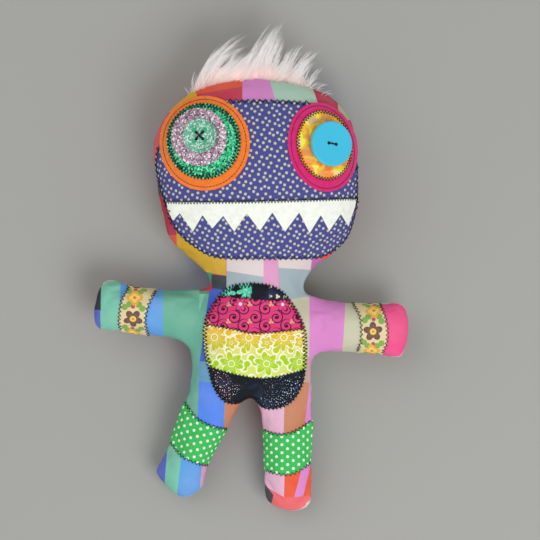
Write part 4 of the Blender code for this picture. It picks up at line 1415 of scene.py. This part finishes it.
class Front:
    """The skin's front, from which layers are lifted."""

    def __init__(self, body):
        mesh = body.data
        self.places = places_of(body)
        normals = np.empty(len(mesh.vertices) * 3, np.float32)
        mesh.vertices.foreach_get("normal", normals)
        self.normals = normals.reshape(-1, 3).astype(float)
        self.over = self.places[:, 2] - seam_level(self.places[:, :2])
        self.faces = [tuple(polygon.vertices) for polygon in mesh.polygons]
        self.middles = np.array([self.places[list(face)].mean(0)[:2] for face in self.faces])
        self.middles_over = np.array([self.over[list(face)].mean() for face in self.faces])

    def layer(self, name, lines, lift, thickness, material, limb=None):
        """A layer over the front, cut to upright prisms over closed lines, and laid on its body."""
        low = np.max([line.min(0) for line in lines], 0) - 0.003
        high = np.min([line.max(0) for line in lines], 0) + 0.003
        wanted = (self.middles > low).all(1) & (self.middles < high).all(1) & (self.middles_over > 0)
        faces = [self.faces[number] for number in np.flatnonzero(wanted)]
        used = sorted({number for face in faces for number in face})
        index = {number: place for place, number in enumerate(used)}
        faces = [[index[number] for number in face] for face in faces]
        base, out = self.places[used], self.normals[used]
        rounds = round(lift / 0.0002)
        if rounds > 4:
            drawn_in = smoothed(base, faces, rounds) - base
            base = base + drawn_in * np.clip(self.over[used] / 0.006, 0, 1)[:, None]
        out = smoothed(out, faces, rounds + 2)
        out /= np.linalg.norm(out, axis=1)[:, None]
        count = len(used)
        rims = {(a, b) for face in faces for a, b in zip(face, face[1:] + face[:1])}
        walls = [[count + b, count + a, a, b] for a, b in rims if (b, a) not in rims]
        shell = [[count + number for number in face] for face in faces] + [face[::-1] for face in faces]
        points = np.concatenate([base + out * lift, base + out * (lift + thickness)])
        piece = new_object(name, points, shell + walls)
        for line in lines:
            trim(piece, line)
        choose(piece)
        bpy.ops.object.shade_smooth_by_angle(angle=radians(50))
        piece.data.materials.clear()
        piece.data.materials.append(material)
        remember(piece, limb)
        return piece


def lay(piece, body, node):
    """A layer sewn on another: it goes with its body, and the CAD node that it stands for is hidden."""
    go_with(piece, body)
    stand_for(node)


def add_layer(name, rides, node, lines, lift, thickness, material, limb=None):
    """Cuts a layer from the front, lays it on what is under it, and adds it to the ground."""
    piece = front.layer(name, lines, lift, thickness, material, limb)
    lay(piece, rides, node)
    ground.add(piece)


def add_round(limb, name, node, edges, material):
    """A layer round a limb, between two edges."""
    first, last = (skin_ground.open_line(edge) for edge in edges)
    lines = [np.concatenate([first, last[::-1]])]
    add_layer(name, limb, node, lines, GAP, COTTON, material, limb)


# Stitches


def stitch_line(ground, line, pitch, width, lift, closed=True):
    """Points of a zigzag stitch across a line on the surface, or of a straight one at width 0."""
    path = np.array([tuple(ground.under(x, y)) for x, y in line])
    if closed:
        path = np.concatenate([path, path[:1]])
    path = resampled(path, lambda length: max(2, round(length / (pitch / 2) / 2)) * 2, closed)
    heading = np.roll(path, -1, 0) - np.roll(path, 1, 0) if closed else np.gradient(path, axis=0)
    feet, outs, tops = [], [], []
    for number, (here, ahead) in enumerate(zip(path, heading)):
        foot, out, _, _ = ground.bare.find_nearest(Vector(here))
        side = out.cross(Vector(ahead)).normalized()
        foot, out, _, _ = ground.bare.find_nearest(foot + side * (width / 2 if number % 2 else -width / 2))
        hit = ground.tree.ray_cast(foot + out * 0.012, -out)[0]
        feet.append(tuple(foot))
        outs.append(tuple(out))
        tops.append(0.0 if hit is None else (hit - foot).length)
    feet, outs, tops = np.array(feet), np.array(outs), np.array(tops)
    outs = (outs + np.roll(outs, 1, 0) + np.roll(outs, -1, 0)) / 3 if closed else outs
    around = np.maximum(tops, np.maximum(np.roll(tops, 1), np.roll(tops, -1)))
    level = np.where(tops > around - 0.0003, around, around - 0.0003)
    return feet + outs * (lift + level)[:, None]


def straight_legs(line, closed):
    """A zigzag with two more points in each leg, which keep its thread round between the corners."""
    ahead = np.roll(line, -1, 0)
    full = np.stack([line, line * 0.82 + ahead * 0.18, line * 0.18 + ahead * 0.82], 1).reshape(-1, 3)
    return full if closed else full[:-2]


def threads(name, lines, radius, material, closed=True):
    """Threads along lines of points, as one mesh."""
    curve = bpy.data.curves.new(name, "CURVE")
    curve.dimensions = "3D"
    curve.bevel_depth = radius
    curve.bevel_resolution = 0
    curve.use_fill_caps = True
    for line in lines:
        line = straight_legs(line, closed)
        spline = curve.splines.new("POLY")
        spline.points.add(len(line) - 1)
        spline.points.foreach_set("co", np.column_stack([line, np.ones(len(line))]).ravel())
        spline.use_cyclic_u = closed
    obj = bpy.data.objects.new(name, curve)
    link(obj)
    choose(obj)
    bpy.ops.object.convert(target="MESH")
    obj = bpy.context.active_object
    obj.name = name
    bpy.ops.object.shade_smooth()
    obj.data.materials.append(material)
    return obj


def sew(name, body, lines, pitch, width, radius, closed=False):
    """Zigzag stitches along lines, which move as their cloth does."""
    found = [stitch_line(ground, line, pitch, width, STITCH_LIFT, closed) for line in lines]
    go_with(threads(name, found, radius, black, closed), body)


def run_stitch(name, body, line, pitch=0.0026):
    """A straight stitch that dips into the cloth at every step."""
    found = stitch_line(ground, line, pitch, 0.0, 0.0002)
    found[::2, 2] -= 0.0004
    go_with(threads(name, [found], 0.00022, black), body)


def on_doll(line):
    """The part of an open line that lies over the doll's front."""
    hit = np.array([dropped(ground.tree, x, y)[0] is not None for x, y in line])
    height = np.array([ground.under(x, y).z for x, y in line]) - seam_level(line)
    return line[(height > 0.0005) & hit]


def halves(line):
    """The parts of a line to the left and the right of the legs' parting."""
    return line[line[:, 0] < split], line[line[:, 0] > split]


# Hair and buttons


def add_hair(ground, random, material):
    """Tapered strands in locks, rooted on both sides of the seam."""
    points, faces, shares, tones = [], [], [], []
    for *way, count, spread in LOCKS:
        root, first, second, tip = np.array([spot(*pixel, HAIR_LEVEL) for pixel in way])
        wisps = random.normal(0, 1, (WISPS, 3)) * (spread * 1.7 * PIXEL, spread * 1.7 * PIXEL, 0.0030)
        ends = random.uniform(0.80, 1.04, WISPS)
        for number in range(count):
            wisp = number % WISPS
            aside = wisps[wisp, :2] + random.normal(0, 1, 2) * spread * 0.45 * PIXEL
            start = root + (random.uniform(-0.0055, 0.0055), random.uniform(-0.0035, 0.0010))
            start = Vector((*start, HAIR_LEVEL + random.uniform(-0.0060, 0.0075)))
            start, normal, _, _ = ground.tree.find_nearest(start)
            a = np.array(start - normal * 0.0004)
            rise = wisps[wisp, 2] + random.normal(0, 0.0012)
            b = np.array([*(first + aside * 0.9), a[2] + rise * 0.8 + 0.0010])
            c = np.array([*(second + aside), a[2] + rise * 1.3])
            d = np.array([*(tip + aside * 0.55), a[2] + rise * 1.5 - 0.0010])
            reach = ends[wisp] * random.uniform(0.28, 1.0) ** 0.85
            thick = random.uniform(0.00010, 0.00016)
            tone = random.uniform(0, 1)
            times = [reach * ring / RINGS for ring in range(RINGS + 1)]
            centres = [
                a * (1 - t) ** 3 + 3 * b * t * (1 - t) ** 2 + 3 * c * t**2 * (1 - t) + d * t**3 for t in times
            ]
            turn = random.uniform(0, 2 * pi)
            begin = len(points)
            for ring, centre in enumerate(centres[:-1]):
                ahead = centres[ring + 1] - centre
                ahead /= np.linalg.norm(ahead)
                side = np.cross(ahead, (0, 0, 1))
                side /= max(np.linalg.norm(side), 1e-6)
                up = np.cross(side, ahead)
                radius = thick * (1 - ring / RINGS * 0.55)
                for corner in range(3):
                    angle = turn + 2 * pi * corner / 3
                    points.append(centre + (side * cos(angle) + up * sin(angle)) * radius)
                    shares.append(ring / RINGS * reach)
            points.append(centres[-1])
            shares.append(reach)
            tones += [tone] * (RINGS * 3 + 1)
            top, sides = len(points) - 1, [(corner, (corner + 1) % 3) for corner in range(3)]
            for low in range(begin, top - 3, 3):
                faces += [(low + p, low + q, low + q + 3, low + p + 3) for p, q in sides]
            faces += [(top - 3 + p, top - 3 + q, top) for p, q in sides]
            faces.append((begin + 2, begin + 1, begin))
    hair = new_object("hair_pile", points, faces)
    choose(hair)
    bpy.ops.object.shade_smooth()
    keep_values(hair, "along", shares)
    keep_values(hair, "strand", tones)
    hair.data.materials.append(material)
    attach(hair, "head")
    stand_for("hair_tuft")


def add_mound(material):
    """The thick foot of the pile, along the seam."""
    bpy.ops.mesh.primitive_ico_sphere_add(subdivisions=4, radius=1)
    mound = bpy.context.active_object
    mound.name = "hair_mound"
    middle = (*spot(246, 77, HAIR_LEVEL), HAIR_LEVEL)
    move_points(mound, places_of(mound) * (0.0330, 0.0085, 0.0060) + middle)
    bpy.ops.object.shade_smooth()
    mound.data.materials.append(material)
    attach(mound, "head")
    stand_for("hair_tuft")


def button_place(node):
    """A CAD button's middle, half its width and height, and its own axes."""
    obj = bpy.data.objects[node]
    places = np.array([tuple(obj.matrix_world @ v.co) for v in obj.data.vertices])
    normal = np.linalg.svd(places - places.mean(0), full_matrices=False)[2][2]
    normal *= np.sign(normal[2])
    across = np.array([1.0, 0, 0]) - normal * normal[0]
    across /= np.linalg.norm(across)
    axes = np.array([across, np.cross(normal, across), normal])
    own = places @ axes.T
    middle = (own.min(0) + own.max(0)) / 2
    half = (own.max(0) - own.min(0)) / 2
    return middle @ axes, half, axes


def add_button(name, node, holes, dish, material):
    """A finer button in its CAD node's place: rim, dished middle, and holes."""
    middle, half, axes = button_place(node)
    bpy.ops.mesh.primitive_cylinder_add(vertices=72, radius=half[0], depth=2 * half[2])
    button = bpy.context.active_object
    button.name = name
    choose(button)
    bpy.ops.object.mode_set(mode="EDIT")
    bpy.ops.mesh.select_all(action="DESELECT")
    shape = bmesh.from_edit_mesh(button.data)
    for face in shape.faces:
        face.select_set(face.normal.z > 0.9)
    bmesh.update_edit_mesh(button.data)
    bpy.ops.mesh.inset(thickness=BUTTON_RIM / 2, depth=0)
    bpy.ops.mesh.inset(thickness=BUTTON_RIM / 2, depth=0)
    bpy.ops.transform.translate(value=(0, 0, -dish))
    bpy.ops.object.mode_set(mode="OBJECT")
    round_off = button.modifiers.new("Round", "BEVEL")
    round_off.width = 0.0009
    round_off.segments = 5
    round_off.limit_method = "ANGLE"
    round_off.angle_limit = radians(14)
    apply_all(button)
    for x, y in holes:
        bpy.ops.mesh.primitive_cylinder_add(vertices=24, radius=0.0013, depth=0.02, location=(x, y, 0))
        cut_with(button, bpy.context.active_object, "DIFFERENCE")
    places = places_of(button)
    keep_values(button, "own", places)
    move_points(button, places @ axes + middle)
    choose(button)
    bpy.ops.object.shade_smooth_by_angle(angle=radians(32))
    button.data.materials.append(material)
    remember(button)
    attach(button, "head")
    stand_for(node)


def add_stage():
    """Floor, light and camera."""
    bpy.ops.mesh.primitive_plane_add(size=6, location=(0, 0, -0.0003))
    floor = bpy.context.active_object
    floor.name = "floor"
    floor.data.materials.append(plain("pale_floor", (163, 163, 159), 0.7))
    for name, place, size, power in (
        ("window_light", (0.75, -0.95, 1.6), 1.2, 20.9),
        ("room_light", (-1.1, 0.8, 1.6), 1.8, 9.4),
    ):
        lamp = bpy.data.lights.new(name, "AREA")
        lamp.size = size
        lamp.energy = power
        light = bpy.data.objects.new(name, lamp)
        light.location = place
        light.rotation_euler = (-Vector(place)).to_track_quat("-Z", "Y").to_euler()
        link(light)
    world = bpy.data.worlds.new("room")
    world.use_nodes = True
    background = world.node_tree.nodes["Background"]
    background.inputs["Color"].default_value = (1, 1, 1, 1)
    background.inputs["Strength"].default_value = 0.52
    bpy.context.scene.world = world
    lens = bpy.data.cameras.new("overhead")
    camera = bpy.data.objects.new("overhead", lens)
    camera.location = (*spot(PICTURE / 2, PICTURE / 2), CAMERA_HEIGHT)
    lens.sensor_width = 36
    lens.lens = 36 * (CAMERA_HEIGHT - SEAM_LEVEL) / (PIXEL * PICTURE)
    link(camera)
    bpy.context.scene.camera = camera
    bpy.context.scene.view_settings.view_transform = "Standard"


# The doll

add_stage()
body = follow_cad(settle(blow_up(stuffed_form(even_line([spot(*pixel) for pixel in OUTLINE], OUTLINE_STEP)))))
skin_ground, ground = Ground(body), Ground(body)
HEIGHTS = height_grid(skin_ground.tree)
shape, owner = stretches_of(body)
front = Front(body)
for name in ("torso", *LIMBS):
    skin = skin_piece(name, owner)
    places = places_of(skin)[:, :2]
    skin.data.materials.append(skin_cloth(name, places.min(0), places.max(0)))
    remember(skin, name)
    go_with(skin, name)
    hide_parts(f"{name}_front_cloth", f"{name}_back_cloth", f"{name}_stuffing")
shape.free()
bpy.data.objects.remove(body)

# Face, teeth, and the bands and ribbons round the limbs
add_layer(
    "face_patch_cloth", "head", "face_patch", [skin_ground.line(FACE)],
    GAP, COTTON, jittered_cloth("navy_dots"), "head",
)
add_layer(
    "teeth_felt", "head", "tooth_strip", [skin_ground.corners(TEETH)],
    0.0009, 0.0011, felt("white_felt", (247, 250, 240), (236, 240, 228)),
)
green_dots = rowed_cloth("green_dots")
for name, edges in BANDS.items():
    add_round(name, f"{name}_dotted_cloth", f"{name}_dotted_band", edges, green_dots)
for (name, edges), middle in zip(RIBBONS.items(), RIBBON_MIDDLES):
    middle = np.array([(*spot(*middle, PRINT_LEVEL), PRINT_LEVEL)])
    shift = [float(measure[0]) for measure in round_limb(name, middle)]
    print_of = ribbon_cloth(f"{name}_ribbon_print", shift)
    add_round(name, f"{name}_ribbon_cloth", f"{name}_ribbon", edges, print_of)

# Belly, whose lowest band is split between the legs
belly_line = skin_ground.line(BELLY)
seams = [skin_ground.open_line(seam) for seam in BELLY_SEAMS]
split = spot(*BELLY_SPLIT)[0]
left, right = halves(seams[2])
speckled = speckled_cloth("speckled_print")
for band, side, rides, first, last, material in (
    ("top", "", "head", seams[0], spots((315, 270), (195, 270)), leafy_cloth("leafy_print")),
    ("pink", "", "torso", seams[0], seams[1][::-1], scroll_cloth("scroll_print")),
    ("lime", "", "torso", seams[1], seams[2][::-1], daisy_cloth("daisy_print")),
    ("black", "_left", "left_leg", left, spots((250.5, 376), (250.5, 425), (195, 425)), speckled),
    ("black", "_right", "right_leg", right, spots((315, 425), (250.5, 425), (250.5, 376)), speckled),
):
    name, node = f"belly_{band}_band{side}_cloth", f"belly_{band}_band"
    lines = [belly_line, np.concatenate([first, last])]
    add_layer(name, rides, node, lines, GAP, COTTON, material)

# Eyes: felt, discs, buttons, and the thread through the buttons
black = plain("black_thread", (24, 22, 28), 0.7, Specular_IOR_Level=0.3)
orange = felt("orange_felt", (250, 128, 40), (240, 116, 34))
magenta = felt("magenta_felt", (218, 30, 116), (204, 24, 106))
greens = ((30, 146, 98), (44, 198, 134), (56, 216, 150), (140, 246, 196), (20, 96, 68))
lilacs = ((170, 142, 158), (218, 194, 206), (250, 246, 250), (198, 148, 176), (134, 110, 130))
for name, node, under, oval, lift, thickness, material in (
    ("left_eye_orange", "left_eye_felt", "face_patch_cloth", LEFT_FELT, 0.0010, FELT, orange),
    ("left_eye_green", "left_eye_green_disc", "left_eye_orange", LEFT_GREEN, 0.0024, DISC,
     glitter("green_glitter", greens, 0.0010)),
    ("left_eye_lilac", "left_eye_lilac_disc", "left_eye_green", LEFT_LILAC, 0.0035, DISC,
     glitter("lilac_glitter", lilacs, 0.0011)),
    ("right_eye_magenta", "right_eye_felt", "face_patch_cloth", RIGHT_FELT, 0.0010, FELT, magenta),
    ("right_eye_yellow", "right_eye_satin", "right_eye_magenta", RIGHT_SATIN, 0.0024, DISC,
     satin_cloth("yellow_satin")),
):
    add_layer(name, "head", node, [skin_ground.oval(*oval)], lift, thickness, material)
holes = [(x, y) for x in (-0.0024, 0.0024) for y in (-0.0024, 0.0024)]
add_button("left_button", "left_eye_button", holes, 0.0008, button_plastic("mint_plastic"))
turn = radians(-6)
holes = [(side * 0.0031 * cos(turn), side * 0.0031 * sin(turn)) for side in (-1, 1)]
blue = plain("blue_plastic", (58, 196, 232), 0.32, Coat_Weight=0.2, Coat_Roughness=0.1)
add_button("right_button", "right_eye_button", holes, 0.0001, blue)
for node in ("left_eye_thread", "right_eye_thread"):
    for slot in bpy.data.objects[node].material_slots:
        slot.material = black

# The strands and their mound share one material, which glows faintly as painted light.
white = pile("white_pile_painted_glow")
add_hair(skin_ground, np.random.default_rng(7), white)
add_mound(white)

# Stitches
felts = [skin_ground.oval(*LEFT_FELT), skin_ground.oval(*RIGHT_FELT)]
face_edge = outside(ground.line(inset(FACE, 1.0), step=0.001), *felts)
sew("face_zigzag", "head", face_edge, 0.0042, 0.0034, 0.00036)
sew("mouth_zigzag", "head", [ground.open_line(MOUTH)], 0.0024, 0.0024, 0.00028)
run_stitch("orange_stitch", "head", ground.oval(*shrunk(LEFT_FELT, 3.6)))
run_stitch("magenta_stitch", "head", ground.oval(*shrunk(RIGHT_FELT, 3.4)))
sew("green_zigzag", "head", [ground.oval(*shrunk(LEFT_GREEN, 2.0))], 0.0026, 0.0042, 0.00034, closed=True)
sew("satin_zigzag", "head", [ground.oval(*shrunk(RIGHT_SATIN, 0.8))], 0.0024, 0.0026, 0.00032, closed=True)
for name, edges in {**RIBBONS, **BANDS}.items():
    sew(f"{name}_zigzag", name, [on_doll(ground.open_line(edge)) for edge in edges], 0.0033, 0.0022, 0.00026)
within = [seam[inside(seam, belly_line)] for seam in seams]
for number, rides in enumerate(("head", "torso")):
    sew(f"belly_seam_{number}", rides, [within[number]], *SEAM_STITCH)

# The belly's edge: one line of stitches, whose stretches go with the bands that they hold
edge = stitch_line(ground, ground.line(inset(BELLY, 1.4)), 0.0028, 0.0042, STITCH_LIFT)
heights = [np.interp(edge[:, 0], seam[:, 0], seam[:, 1]) for seam in seams]
bodies = ("head", "torso", "left_leg", "right_leg")
number_of = np.where(edge[:, 0] < split, 2, 3)
number_of[edge[:, 1] > heights[2]] = 1
number_of[edge[:, 1] > heights[0]] = 0
for number, rides in enumerate(bodies):
    runs = runs_of(np.flatnonzero(number_of == number))
    lines = [edge[[*run, (run[-1] + 1) % len(edge)]] for run in runs]
    go_with(threads(f"belly_edge_{rides}", lines, 0.00034, black, closed=False), rides)
for limb, side in zip(bodies[2:], halves(within[2])):
    sew(f"belly_seam_{limb}", limb, [side], *SEAM_STITCH)
